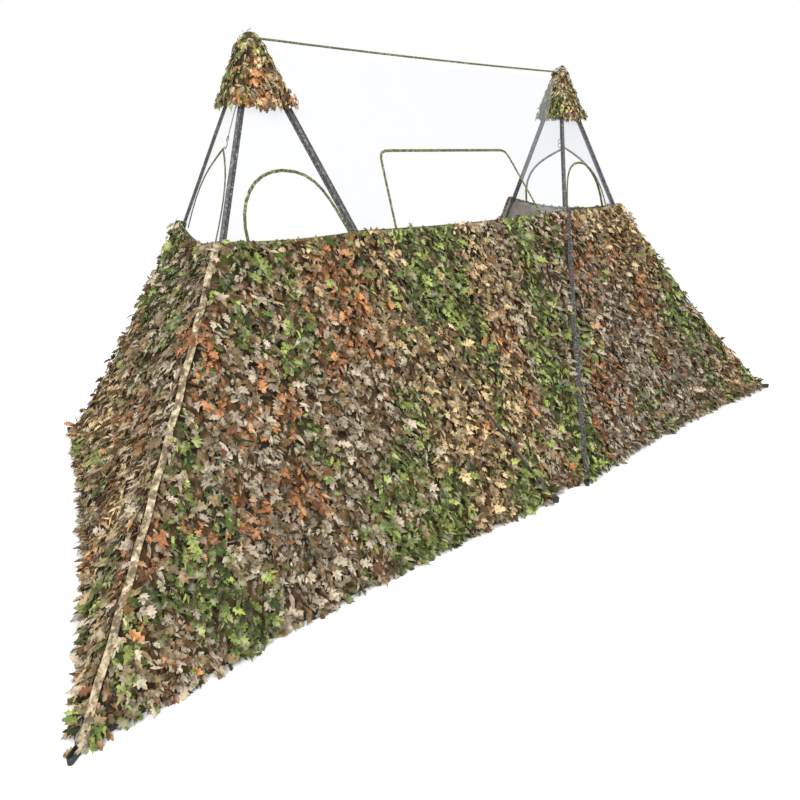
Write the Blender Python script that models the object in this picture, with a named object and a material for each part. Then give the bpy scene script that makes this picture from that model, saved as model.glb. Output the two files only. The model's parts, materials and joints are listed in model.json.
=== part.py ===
"""Pop up ground blind: two folding tripods joined by a ridge, with mesh above a rail and leafy skirts below.

Frame: metres, +Z up, origin on the ground at the middle of the blind's footprint. +X runs along the long
front, which faces -Y. The back, on +Y, is open. Each tripod has three straight poles that are pinned to a hub:
a back pole, a corner pole at the front's end and a middle pole.
"""

import math

import bmesh
import bpy
from mathutils import Matrix, Vector

# Plan of the stakes and the hubs, measured from a front corner stake
FRONT_SPAN = 4.000  # between the two front corner stakes
MIDDLE_STAKE_IN = 1.860  # along the front to the nearer middle stake
BACK_STAKE_IN = 0.711  # along the front to the back stake
STAKE_DEPTH = 1.936  # from the front stakes to the back stakes
HUB_IN = 1.106  # along the front to the hub
HUB_DEPTH = 0.844  # from the front stakes to the hub

# Heights and lean
APEX_HEIGHT = 1.683  # where the axes of a tripod's poles would meet
RAIL_HEIGHT = 1.043  # where the skirts are clipped to the poles
POLE_LEAN = math.radians(29.45)  # from the vertical

# Poles
POLE_RADIUS = 0.0065
POLE_JOINT_SHARE = 0.5  # where a pole's two sections meet, as a share of its length
SPIGOT_RADIUS = 0.0040
SPIGOT_LENGTH = 0.060
SPIGOT_CLEARANCE = 0.0004

# Hub, tangs and hinge pins
PIN_CIRCLE = 0.030  # from the hub's axis to each hinge pin
PIN_RADIUS = 0.0022
PIN_CLEARANCE = 0.0003
PIN_HEAD_RADIUS = 0.0042
PIN_HEAD_THICK = 0.0016
TANG_HALF_THICK = 0.0040
TANG_RADIUS = 0.0070
TANG_LENGTH = 0.022
TANG_SHOULDER = 0.014  # from the pin to the top of the round pole
EAR_GAP = 0.0004
EAR_THICK = 0.0040
EAR_RADIUS = 0.0090
HUB_CORE_RADIUS = 0.018
HUB_CORE_HALF_HEIGHT = 0.017

# Foot tips
TIP_WALL = 0.0042
TIP_LENGTH = 0.045
TIP_FLOOR = 0.018  # rubber under the pole's end, along the pole
TOUCH_GAP = 0.0003  # between pieces that bear on each other

# Skirt clips
CLIP_WALL = 0.0032
CLIP_HALF_HEIGHT = 0.011
CLIP_MOUTH = math.radians(80)
CLIP_TAB_REACH = 0.0155
CLIP_TAB_HALF_WIDTH = 0.0024

# Leafy caps over the hubs
CAP_BOTTOM = 1.478
CAP_GROW = 0.030  # from a pole's axis to the cap's corner
CAP_CROWN = 0.020  # height of the crown over the apex
CAP_WALL = 0.003
CAP_TOP_RADIUS = 0.012
CAP_CORNER_STEPS = 4

# Ridge and mesh walls
RIDGE_TALL = 0.020
RIDGE_THICK = 0.005
RIDGE_END = 0.045  # from the hub's axis to the ridge tape
MESH_THICK = 0.002
MESH_POLE_GAP = 0.012  # from a pole's axis to the mesh's edge
MESH_TOP = 1.590
MIDDLE_MESH_TOP = 1.656
MIDDLE_NOTCH_IN = 0.118  # from the middle pole to the middle mesh, beside the cap
ARCH_STEPS = 8

# Windows, in each wall's own plane: along the rail from the first pole, and up the wall
END_WINDOW = {"left": 0.085, "right": 0.515, "crown_along": 0.310, "crown_up": 0.305, "point": 0.12, "lean": 0.024}
FRONT_WINDOW = {"left": 0.100, "right": 0.508, "crown_along": 0.282, "crown_up": 0.240, "point": 0.0, "lean": 0.058}
MIDDLE_WINDOW_LEFT = 0.200
MIDDLE_WINDOW_RIGHT = 1.120
MIDDLE_WINDOW_TOP_LEFT = 0.215
MIDDLE_WINDOW_TOP_RIGHT = 0.970
MIDDLE_WINDOW_UP = 0.310
MIDDLE_WINDOW_ROUND = 0.070

# Skirts
SKIRT_THICK = 0.003
SKIRT_OFFSET = 0.024  # from a pole's axis out to the seam at the rail
SEAM_GAP = 0.003  # from a seam's line to each skirt beside it
SEAM_BOW = 0.030
HEM_BOW = 0.040
HEM_HEIGHT = 0.008
END_RAIL_SAG = 0.040
RAIL_SAG = 0.012
SKIRT_ACROSS = 10
SKIRT_DOWN = 8

# Stake loops
LOOP_LENGTH = 0.046
LOOP_WIDTH = 0.016
LOOP_TALL = 0.020
LOOP_THICK = 0.0016
LOOP_START = 0.006  # from the stake point to the loop
LOOP_BASE = 0.002
LOOP_END_STEPS = 6

# S hooks and their cords
HOOK_WIRE = 0.00175
HOOK_UPPER_RADIUS = 0.0100
HOOK_LOWER_RADIUS = 0.0125
HOOK_OPENING = math.radians(40)
HOOK_LOWER_SWEEP = math.radians(250)
HOOK_STEP = math.radians(15)
CORD_RADIUS = 0.0015
CORD_LENGTH = 0.248
CORD_START = 0.012  # from the hub's axis
CORD_STEP = 0.0075

ROUND_SIDES = 16
PIN_SIDES = 14

PIN_HEIGHT = APEX_HEIGHT - PIN_CIRCLE / math.tan(POLE_LEAN)
POLE_REACH = PIN_HEIGHT / math.cos(POLE_LEAN)  # from the pin to the ground, along the pole
RAIL_ALONG = (PIN_HEIGHT - RAIL_HEIGHT) / math.cos(POLE_LEAN)
JOINT_ALONG = POLE_REACH * POLE_JOINT_SHARE
UP = Vector((0, 0, 1))


def direction(azimuth):
    return Vector((math.cos(azimuth), math.sin(azimuth), 0))


def azimuth_to(start, end):
    return math.atan2(end[1] - start[1], end[0] - start[0])


def loop_reach(azimuth, toward):
    """How far a stake loop at this azimuth goes past its stake point, in a direction."""
    run = LOOP_START + LOOP_LENGTH - LOOP_WIDTH / 2
    return run * direction(azimuth).dot(toward) + LOOP_WIDTH / 2


class Tripod:
    """One hub with its three stake points. side is -1 on the left and 1 on the right."""

    def __init__(self, side):
        self.name = "left" if side < 0 else "right"
        corner = Vector((-FRONT_SPAN / 2, 0))
        plan = {
            "back": corner + Vector((BACK_STAKE_IN, STAKE_DEPTH)),
            "corner": corner,
            "middle": corner + Vector((MIDDLE_STAKE_IN, 0)),
            "hub": corner + Vector((HUB_IN, HUB_DEPTH)),
        }
        front_reach = loop_reach(azimuth_to(plan["hub"], plan["middle"]), Vector((0, -1, 0)))
        back_reach = loop_reach(azimuth_to(plan["hub"], plan["back"]), Vector((0, 1, 0)))
        shift = front_reach - (STAKE_DEPTH + front_reach + back_reach) / 2
        placed = {key: Vector((-side * p[0], p[1] + shift, 0)) for key, p in plan.items()}
        self.hub = placed.pop("hub")
        self.stakes = placed
        self.azimuths = {leg: azimuth_to(self.hub, p) for leg, p in placed.items()}

    def on_pole(self, leg, height):
        """The pole's axis at this height."""
        radius = (APEX_HEIGHT - height) * math.tan(POLE_LEAN)
        return self.hub + direction(self.azimuths[leg]) * radius + UP * height

    def apex(self):
        return self.hub + UP * APEX_HEIGHT

    def leg_frame(self, leg):
        """Origin at the hinge pin, X along the pin, Y outward and Z up along the pole."""
        radial = direction(self.azimuths[leg])
        z_axis = UP * math.cos(POLE_LEAN) - radial * math.sin(POLE_LEAN)
        y_axis = radial * math.cos(POLE_LEAN) + UP * math.sin(POLE_LEAN)
        x_axis = y_axis.cross(z_axis)
        frame = Matrix((x_axis, y_axis, z_axis)).transposed().to_4x4()
        frame.translation = self.hub + radial * PIN_CIRCLE + UP * PIN_HEIGHT
        return frame

    def seam(self, leg, share):
        """The line over a pole's outer side where two skirts meet, from the rail down to the stake."""
        radial = direction(self.azimuths[leg])
        outward = radial * math.cos(POLE_LEAN) + UP * math.sin(POLE_LEAN)
        top = self.on_pole(leg, RAIL_HEIGHT) + outward * SKIRT_OFFSET
        foot = self.stakes[leg] + UP * HEM_HEIGHT
        return top.lerp(foot, share) - outward * (SEAM_BOW * 4 * share * (1 - share))


# Making objects


def clear_scene():
    for old in list(bpy.data.objects):
        bpy.data.objects.remove(old)


def material(name, colour, roughness, metallic=0.0):
    made = bpy.data.materials.new(name)
    made.use_nodes = True
    shader = made.node_tree.nodes["Principled BSDF"]
    shader.inputs["Base Color"].default_value = (*colour, 1)
    shader.inputs["Roughness"].default_value = roughness
    shader.inputs["Metallic"].default_value = metallic
    return made


def mesh_from(bm, name, smooth_below=None):
    bmesh.ops.recalc_face_normals(bm, faces=bm.faces)
    mesh = bpy.data.meshes.new(name)
    bm.to_mesh(mesh)
    bm.free()
    if smooth_below is not None:
        mesh.shade_smooth()
        mesh.set_sharp_from_angle(angle=math.radians(smooth_below))
    return mesh


def place(name, data, finish, parent=None):
    """A new object in its parent's frame."""
    obj = bpy.data.objects.new(name, data)
    bpy.context.scene.collection.objects.link(obj)
    if not obj.data.materials:
        obj.data.materials.append(finish)
    if parent is not None:
        obj.parent = parent
    return obj


def pivot(name, frame):
    empty = bpy.data.objects.new(name, None)
    bpy.context.scene.collection.objects.link(empty)
    empty.matrix_world = frame
    return empty


def loft(rings, name, smooth_below=40):
    """A closed skin through rings of points, with its first and last ring filled."""
    bm = bmesh.new()
    made = [[bm.verts.new(p) for p in ring] for ring in rings]
    for low, high in zip(made, made[1:]):
        for i, start in enumerate(low):
            j = (i + 1) % len(low)
            bm.faces.new((start, low[j], high[j], high[i]))
    bm.faces.new(made[0])
    bm.faces.new(made[-1])
    return mesh_from(bm, name, smooth_below)


def circle(radius, height, sides=ROUND_SIDES, slant=0.0):
    """A ring of points about Z. slant lowers it by that much for each metre along Y."""
    turns = [math.tau * i / sides for i in range(sides)]
    return [
        Vector((radius * math.cos(a), radius * math.sin(a), height - slant * radius * math.sin(a)))
        for a in turns
    ]


def turned(profile, name, sides=ROUND_SIDES):
    """A solid of revolution about Z from (radius, height) pairs."""
    return loft([circle(r, z, sides) for r, z in profile], name)


def extruded(outline, depth, name, smooth_below=40):
    """A flat outline in XY, raised along Z by depth either way."""
    return loft(
        [[Vector((x, y, z)) for x, y in outline] for z in (-depth, depth)], name, smooth_below
    )


def turn_to_x(mesh):
    """Turns a shape made along Z so that it lies along X."""
    mesh.transform(Matrix.Rotation(math.radians(90), 4, "Y"))
    return mesh


def combined(base, steps, name):
    """The base mesh with other meshes joined to it or cut from it."""
    body = bpy.data.objects.new(name, base)
    bpy.context.scene.collection.objects.link(body)
    helpers = []
    for operation, mesh in steps:
        helper = bpy.data.objects.new(name + "_cutter", mesh)
        bpy.context.scene.collection.objects.link(helper)
        helper.hide_render = True
        helper.display_type = "WIRE"
        modifier = body.modifiers.new(operation, "BOOLEAN")
        modifier.operation = operation
        modifier.solver = "EXACT"
        modifier.object = helper
        helpers.append(helper)
    graph = bpy.context.evaluated_depsgraph_get()
    result = bpy.data.meshes.new_from_object(body.evaluated_get(graph))
    for used in [body, *helpers]:
        bpy.data.objects.remove(used)
    result.name = name
    result.shade_smooth()
    result.set_sharp_from_angle(angle=math.radians(40))
    return result


def tube(points, radius, name, resolution=2):
    """A round tube through a line of points."""
    curve = bpy.data.curves.new(name, "CURVE")
    curve.dimensions = "3D"
    curve.bevel_depth = radius
    curve.bevel_resolution = resolution
    curve.use_fill_caps = True
    spline = curve.splines.new("POLY")
    spline.points.add(len(points) - 1)
    for point, place_at in zip(spline.points, points):
        point.co = (*place_at, 1)
    return curve


# Poles and their fittings, in the leg's frame


def upper_pole_mesh():
    rod = turned(
        [
            (POLE_RADIUS, -TANG_SHOULDER),
            (POLE_RADIUS, -JOINT_ALONG),
            (SPIGOT_RADIUS + SPIGOT_CLEARANCE, -JOINT_ALONG),
            (SPIGOT_RADIUS + SPIGOT_CLEARANCE, -JOINT_ALONG + SPIGOT_LENGTH + TOUCH_GAP),
        ],
        "rod",
    )
    steps = 8
    outline = [
        (TANG_RADIUS * math.sin(a), TANG_RADIUS * math.cos(a))
        for a in (math.radians(90 - 180 * i / steps) for i in range(steps + 1))
    ]
    outline += [(-TANG_RADIUS * 0.9, -TANG_LENGTH), (TANG_RADIUS * 0.9, -TANG_LENGTH)]
    tang = extruded(outline, TANG_HALF_THICK, "tang")
    tang.transform(Matrix(((0, 0, 1, 0), (1, 0, 0, 0), (0, 1, 0, 0), (0, 0, 0, 1))))
    bore = PIN_RADIUS + PIN_CLEARANCE
    hole = turn_to_x(turned([(bore, -0.01), (bore, 0.01)], "hole", PIN_SIDES))
    return combined(rod, [("UNION", tang), ("DIFFERENCE", hole)], "upper_pole")


def lower_pole_mesh():
    return turned(
        [
            (SPIGOT_RADIUS * 0.8, -JOINT_ALONG + SPIGOT_LENGTH),
            (SPIGOT_RADIUS, -JOINT_ALONG + SPIGOT_LENGTH * 0.95),
            (SPIGOT_RADIUS, -JOINT_ALONG - TOUCH_GAP),
            (POLE_RADIUS, -JOINT_ALONG - TOUCH_GAP),
            (POLE_RADIUS, -POLE_REACH + TIP_FLOOR),
        ],
        "lower_pole",
    )


def foot_tip_mesh():
    """A rubber boot over the pole's end, with its sole flat on the ground."""
    outer = POLE_RADIUS + TOUCH_GAP + TIP_WALL
    inner = POLE_RADIUS + TOUCH_GAP
    top = -POLE_REACH + TIP_LENGTH
    rings = [
        circle(outer * 1.15, -POLE_REACH, slant=math.tan(POLE_LEAN)),
        circle(outer, -POLE_REACH + TIP_FLOOR),
        circle(outer * 0.9, top),
        circle(inner, top),
        circle(inner, -POLE_REACH + TIP_FLOOR - TOUCH_GAP),
    ]
    return loft(rings, "foot_tip")


def hinge_pin_mesh():
    grip = TANG_HALF_THICK + EAR_GAP + EAR_THICK + TOUCH_GAP
    ends = grip + PIN_HEAD_THICK
    profile = [
        (PIN_HEAD_RADIUS * 0.7, -ends),
        (PIN_HEAD_RADIUS, -ends + PIN_HEAD_THICK / 2),
        (PIN_HEAD_RADIUS, -grip),
        (PIN_RADIUS, -grip),
        (PIN_RADIUS, grip),
        (PIN_HEAD_RADIUS, grip),
        (PIN_HEAD_RADIUS, ends - PIN_HEAD_THICK / 2),
        (PIN_HEAD_RADIUS * 0.7, ends),
    ]
    return turn_to_x(turned(profile, "hinge_pin", PIN_SIDES))


def skirt_clip_mesh():
    """A spring clip round the pole, open inward, with a tab outward for the skirts' corners."""
    inner = POLE_RADIUS + TOUCH_GAP
    outer = inner + CLIP_WALL
    steps = 12
    first = -math.pi / 2 + CLIP_MOUTH / 2
    tab_start = math.acos(CLIP_TAB_HALF_WIDTH / outer)
    sweeps = [(first, tab_start), (math.pi - tab_start, math.pi - first)]
    outline = []
    for start, end in sweeps:
        turns = [start + (end - start) * i / (steps // 2) for i in range(steps // 2 + 1)]
        outline += [(outer * math.cos(a), outer * math.sin(a)) for a in turns]
        if start == first:
            outline.append((CLIP_TAB_HALF_WIDTH, CLIP_TAB_REACH))
            outline.append((-CLIP_TAB_HALF_WIDTH, CLIP_TAB_REACH))
    back = [math.pi - first + (2 * first - math.pi) * i / steps for i in range(steps + 1)]
    outline += [(inner * math.cos(a), inner * math.sin(a)) for a in back]
    mesh = extruded(outline, CLIP_HALF_HEIGHT, "skirt_clip")
    mesh.transform(Matrix.Translation((0, 0, -RAIL_ALONG)))
    return mesh


def hub_mesh(tripod):
    """The hub in its own frame: a core with a pair of ears for each tang."""
    core = turned(
        [
            (HUB_CORE_RADIUS * 0.8, -HUB_CORE_HALF_HEIGHT),
            (HUB_CORE_RADIUS, -HUB_CORE_HALF_HEIGHT + 0.003),
            (HUB_CORE_RADIUS, HUB_CORE_HALF_HEIGHT - 0.003),
            (HUB_CORE_RADIUS * 0.8, HUB_CORE_HALF_HEIGHT),
        ],
        "core",
        24,
    )
    steps = 8
    inward = -PIN_CIRCLE + HUB_CORE_RADIUS * 0.55
    outline = [(inward, -EAR_RADIUS), (0, -EAR_RADIUS)]
    outline += [
        (EAR_RADIUS * math.cos(a), EAR_RADIUS * math.sin(a))
        for a in (math.radians(-90 + 180 * i / steps) for i in range(1, steps))
    ]
    outline += [(0, EAR_RADIUS), (inward, EAR_RADIUS)]
    upright = Matrix(((1, 0, 0, 0), (0, 0, -1, 0), (0, 1, 0, 0), (0, 0, 0, 1)))
    bore = PIN_RADIUS + PIN_CLEARANCE
    ears, holes = [], []
    for azimuth in tripod.azimuths.values():
        turn = Matrix.Rotation(azimuth, 4, "Z")
        for side in (-1, 1):
            ear = extruded(outline, EAR_THICK / 2, "ear")
            across = side * (TANG_HALF_THICK + EAR_GAP + EAR_THICK / 2)
            ear.transform(turn @ Matrix.Translation((PIN_CIRCLE, across, 0)) @ upright)
            ears.append(("UNION", ear))
        hole = turned([(bore, -0.012), (bore, 0.012)], "hole", PIN_SIDES)
        hole.transform(turn @ Matrix.Translation((PIN_CIRCLE, 0, 0)) @ upright)
        holes.append(("DIFFERENCE", hole))
    return combined(core, ears + holes, "hub")


def cap_mesh(tripod):
    """A hollow three-cornered hood over the hub and the tops of the poles, open below."""
    turns = sorted(tripod.azimuths.values())
    corners = [direction(a) for a in turns]
    normals = []
    for i, corner in enumerate(corners):
        edge = corners[(i + 1) % 3] - corner
        normals.append(math.atan2(-edge.x, edge.y))

    def ring(height, grow, spread_height):
        radius = max(0.0, APEX_HEIGHT - spread_height) * math.tan(POLE_LEAN)
        points = []
        for i, corner in enumerate(corners):
            start, end = normals[i - 1], normals[i]
            sweep = (end - start) % math.tau
            for step in range(CAP_CORNER_STEPS + 1):
                angle = start + sweep * step / CAP_CORNER_STEPS
                points.append(corner * radius + direction(angle) * grow + UP * height)
        return points

    rings = [
        ring(APEX_HEIGHT + CAP_CROWN - CAP_WALL, CAP_TOP_RADIUS - CAP_WALL / 2, APEX_HEIGHT),
        ring(APEX_HEIGHT, CAP_GROW - CAP_WALL, APEX_HEIGHT),
        ring(CAP_BOTTOM, CAP_GROW - CAP_WALL, CAP_BOTTOM),
        ring(CAP_BOTTOM, CAP_GROW, CAP_BOTTOM),
        ring(APEX_HEIGHT, CAP_GROW, APEX_HEIGHT),
        ring(APEX_HEIGHT + CAP_CROWN, CAP_TOP_RADIUS, APEX_HEIGHT),
    ]
    return loft(rings, "cap", 30)


# Fabric walls


def bezier(points, steps):
    """Points along a cubic curve, without its last point."""
    a, b, c, d = (Vector(p) for p in points)
    found = []
    for i in range(steps):
        t = i / steps
        s = 1 - t
        found.append(a * s**3 + b * 3 * s * s * t + c * 3 * s * t * t + d * t**3)
    return found


def arch(window):
    """An arch window's outline from its right foot over its crown to its left foot."""
    left, right = window["left"], window["right"]
    along, up, point = window["crown_along"], window["crown_up"], window["point"]
    crown = (along, up)
    fall = up * point * 2
    right_side = [
        (right, 0),
        (right - window["lean"], up * 0.55),
        (along + (right - along) * 0.62, up - fall),
        crown,
    ]
    left_side = [
        crown,
        (along + (left - along) * 0.62, up - fall),
        (left - 0.01, up * 0.60),
        (left, 0),
    ]
    return bezier(right_side, ARCH_STEPS) + bezier(left_side, ARCH_STEPS) + [Vector((left, 0))]


def trapezoid_window():
    """The middle window's outline from its right foot to its left foot, with round top corners."""
    r = MIDDLE_WINDOW_ROUND
    top = MIDDLE_WINDOW_UP
    right_up = (MIDDLE_WINDOW_TOP_RIGHT - MIDDLE_WINDOW_RIGHT) / top
    left_up = (MIDDLE_WINDOW_TOP_LEFT - MIDDLE_WINDOW_LEFT) / top
    right_start = (MIDDLE_WINDOW_RIGHT + right_up * (top - r), top - r)
    left_end = (MIDDLE_WINDOW_LEFT + left_up * (top - r), top - r)
    right_corner = (MIDDLE_WINDOW_TOP_RIGHT, top)
    left_corner = (MIDDLE_WINDOW_TOP_LEFT, top)
    outline = [Vector((MIDDLE_WINDOW_RIGHT, 0))]
    right_top = (MIDDLE_WINDOW_TOP_RIGHT - r, top)
    left_top = (MIDDLE_WINDOW_TOP_LEFT + r, top)
    outline += bezier([right_start, right_corner, right_corner, right_top], ARCH_STEPS // 2)
    outline += bezier([left_top, left_corner, left_corner, left_end], ARCH_STEPS // 2)
    outline += [Vector(left_end), Vector((MIDDLE_WINDOW_LEFT, 0))]
    return outline


def wall_frame(first, second, top):
    """A wall's plane: the first rail point, along the rail, up the wall, and outward."""
    along = (second - first).normalized()
    rise = top - first
    up = (rise - along * rise.dot(along)).normalized()
    return first, along, up, along.cross(up)


def flat_wall(outline, frame, name):
    origin, along, up, out = frame
    layers = []
    for side in (-1, 1):
        lift = out * (side * MESH_THICK / 2)
        layers.append([origin + along * s + up * t + lift for s, t in outline])
    return loft(layers, name)


def side_mesh_wall(tripod, first, second, window):
    """The mesh between two poles of one tripod, from the rail to the cap."""
    rail_first = tripod.on_pole(first, RAIL_HEIGHT)
    rail_second = tripod.on_pole(second, RAIL_HEIGHT)
    frame = wall_frame(rail_first, rail_second, tripod.apex())
    width = (rail_second - rail_first).length
    rise = tripod.apex() - rail_first
    apex_along, apex_up = rise.dot(frame[1]), rise.dot(frame[2])
    top = apex_up * (MESH_TOP - RAIL_HEIGHT) / (APEX_HEIGHT - RAIL_HEIGHT)
    left_gap = MESH_POLE_GAP * math.hypot(apex_along, apex_up) / apex_up
    right_gap = MESH_POLE_GAP * math.hypot(width - apex_along, apex_up) / apex_up
    left_top = top * apex_along / apex_up + left_gap
    right_top = width + top * (apex_along - width) / apex_up - right_gap
    outline = [(left_gap, 0), (left_top, top), (right_top, top), (width - right_gap, 0)]
    outline += [tuple(p) for p in arch(window)]
    return flat_wall(outline, frame, "mesh_wall")


def middle_mesh_wall(left, right):
    """The mesh between the tripods, from the rail to the ridge, notched beside the two caps."""
    rail_left = left.on_pole("middle", RAIL_HEIGHT)
    rail_right = right.on_pole("middle", RAIL_HEIGHT)
    frame = wall_frame(rail_left, rail_right, left.apex())
    width = (rail_right - rail_left).length
    rise = left.apex() - rail_left
    apex_along, apex_up = rise.dot(frame[1]), rise.dot(frame[2])

    def up_to(height):
        return apex_up * (height - RAIL_HEIGHT) / (APEX_HEIGHT - RAIL_HEIGHT)

    gap = MESH_POLE_GAP * math.hypot(apex_along, apex_up) / apex_up
    notch_up = up_to(CAP_BOTTOM - 0.010)
    notch_along = notch_up * apex_along / apex_up
    top = up_to(MIDDLE_MESH_TOP)
    left_side = [
        (gap, 0),
        (notch_along + gap, notch_up),
        (notch_along + MIDDLE_NOTCH_IN, notch_up),
        (apex_along + RIDGE_END + 0.015, top),
    ]
    right_side = [(width - s, t) for s, t in reversed(left_side)]
    outline = left_side + right_side + [tuple(p) for p in trapezoid_window()]
    return flat_wall(outline, frame, "mesh_wall")


def skirt_mesh(first_seam, second_seam, inward, sag):
    """A leafy skirt between two seams, from the sagging rail to the bowed hem."""
    bm = bmesh.new()
    rows = []
    for j in range(SKIRT_DOWN + 1):
        down = j / SKIRT_DOWN
        start, end = first_seam(down), second_seam(down)
        step_in = (end - start).normalized() * SEAM_GAP
        start, end = start + step_in, end - step_in
        row = []
        for i in range(SKIRT_ACROSS + 1):
            across = i / SKIRT_ACROSS
            swell = 4 * across * (1 - across)
            point = start.lerp(end, across)
            point += inward * (HEM_BOW * swell * down**2)
            point -= UP * (sag * swell * (1 - down) ** 2)
            row.append(bm.verts.new(point))
        rows.append(row)
    for high, low in zip(rows, rows[1:]):
        for i in range(SKIRT_ACROSS):
            bm.faces.new((high[i], low[i], low[i + 1], high[i + 1]))
    return mesh_from(bm, "skirt", 60)


def add_skirt(name, first_seam, second_seam, sag, finish):
    middle = (first_seam(1) + second_seam(1)) / 2
    along = (second_seam(1) - first_seam(1)).normalized()
    inward = Vector((-along.y, along.x, 0))
    top_middle = (first_seam(0) + second_seam(0)) / 2
    if inward.dot(top_middle - middle) < 0:
        inward.negate()
    skirt = place(name, skirt_mesh(first_seam, second_seam, inward, sag), finish)
    solidify = skirt.modifiers.new("thickness", "SOLIDIFY")
    solidify.thickness = SKIRT_THICK
    solidify.offset = 0
    return skirt


# Stake loops, hooks and cords


def stake_loop_mesh():
    """A loop of webbing that stands on its edge, with its hole upright, starting at X = 0."""
    radius = LOOP_WIDTH / 2

    def stadium(r):
        points = []
        for centre, first in ((LOOP_LENGTH - radius, -90), (radius, 90)):
            for i in range(LOOP_END_STEPS + 1):
                a = math.radians(first + 180 * i / LOOP_END_STEPS)
                points.append((centre + r * math.cos(a), r * math.sin(a)))
        return points

    outer, inner = stadium(radius), stadium(radius - LOOP_THICK)
    low, high = LOOP_BASE, LOOP_BASE + LOOP_TALL
    bm = bmesh.new()
    rings = []
    for outline, height in ((outer, low), (outer, high), (inner, high), (inner, low)):
        rings.append([bm.verts.new((x, y, height)) for x, y in outline])
    for k, ring in enumerate(rings):
        following = rings[(k + 1) % 4]
        for i, start in enumerate(ring):
            j = (i + 1) % len(ring)
            bm.faces.new((start, ring[j], following[j], following[i]))
    return mesh_from(bm, "stake_loop", 40)


def hook_frame(tripod):
    """Origin where the cord leaves the hub, X across the end wall and Z up along the cord."""
    back, corner = tripod.azimuths["back"], tripod.azimuths["corner"]
    toward = (direction(back) + direction(corner)).normalized()
    half_gap = math.acos(direction(back).dot(toward))
    slope = math.atan(math.tan(POLE_LEAN) * math.cos(half_gap))
    z_axis = UP * math.cos(slope) - toward * math.sin(slope)
    x_axis = UP.cross(toward)
    y_axis = z_axis.cross(x_axis)
    frame = Matrix((x_axis, y_axis, z_axis)).transposed().to_4x4()
    frame.translation = tripod.hub + toward * CORD_START + UP * (
        PIN_HEIGHT - HUB_CORE_HALF_HEIGHT - CORD_RADIUS
    )
    return frame


def cord_points():
    count = round(CORD_LENGTH / CORD_STEP)
    return [Vector((0, 0, -CORD_LENGTH * i / count)) for i in range(count + 1)]


def s_hook_points():
    """The wire's middle line: a nearly closed upper eye, then an open lower hook."""
    top = -CORD_LENGTH - TOUCH_GAP - HOOK_WIRE
    waist = top - 2 * HOOK_UPPER_RADIUS
    points = []
    upper_sweep = math.tau - math.pi / 2 + HOOK_OPENING
    steps = round(upper_sweep / HOOK_STEP)
    for i in range(steps):
        a = -HOOK_OPENING + upper_sweep * i / steps
        height = waist + HOOK_UPPER_RADIUS + HOOK_UPPER_RADIUS * math.sin(a)
        points.append(Vector((HOOK_UPPER_RADIUS * math.cos(a), 0, height)))
    steps = round(HOOK_LOWER_SWEEP / HOOK_STEP)
    for i in range(steps + 1):
        a = math.pi / 2 - HOOK_LOWER_SWEEP * i / steps
        height = waist - HOOK_LOWER_RADIUS + HOOK_LOWER_RADIUS * math.sin(a)
        points.append(Vector((HOOK_LOWER_RADIUS * math.cos(a), 0, height)))
    return points


# Assembly


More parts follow.
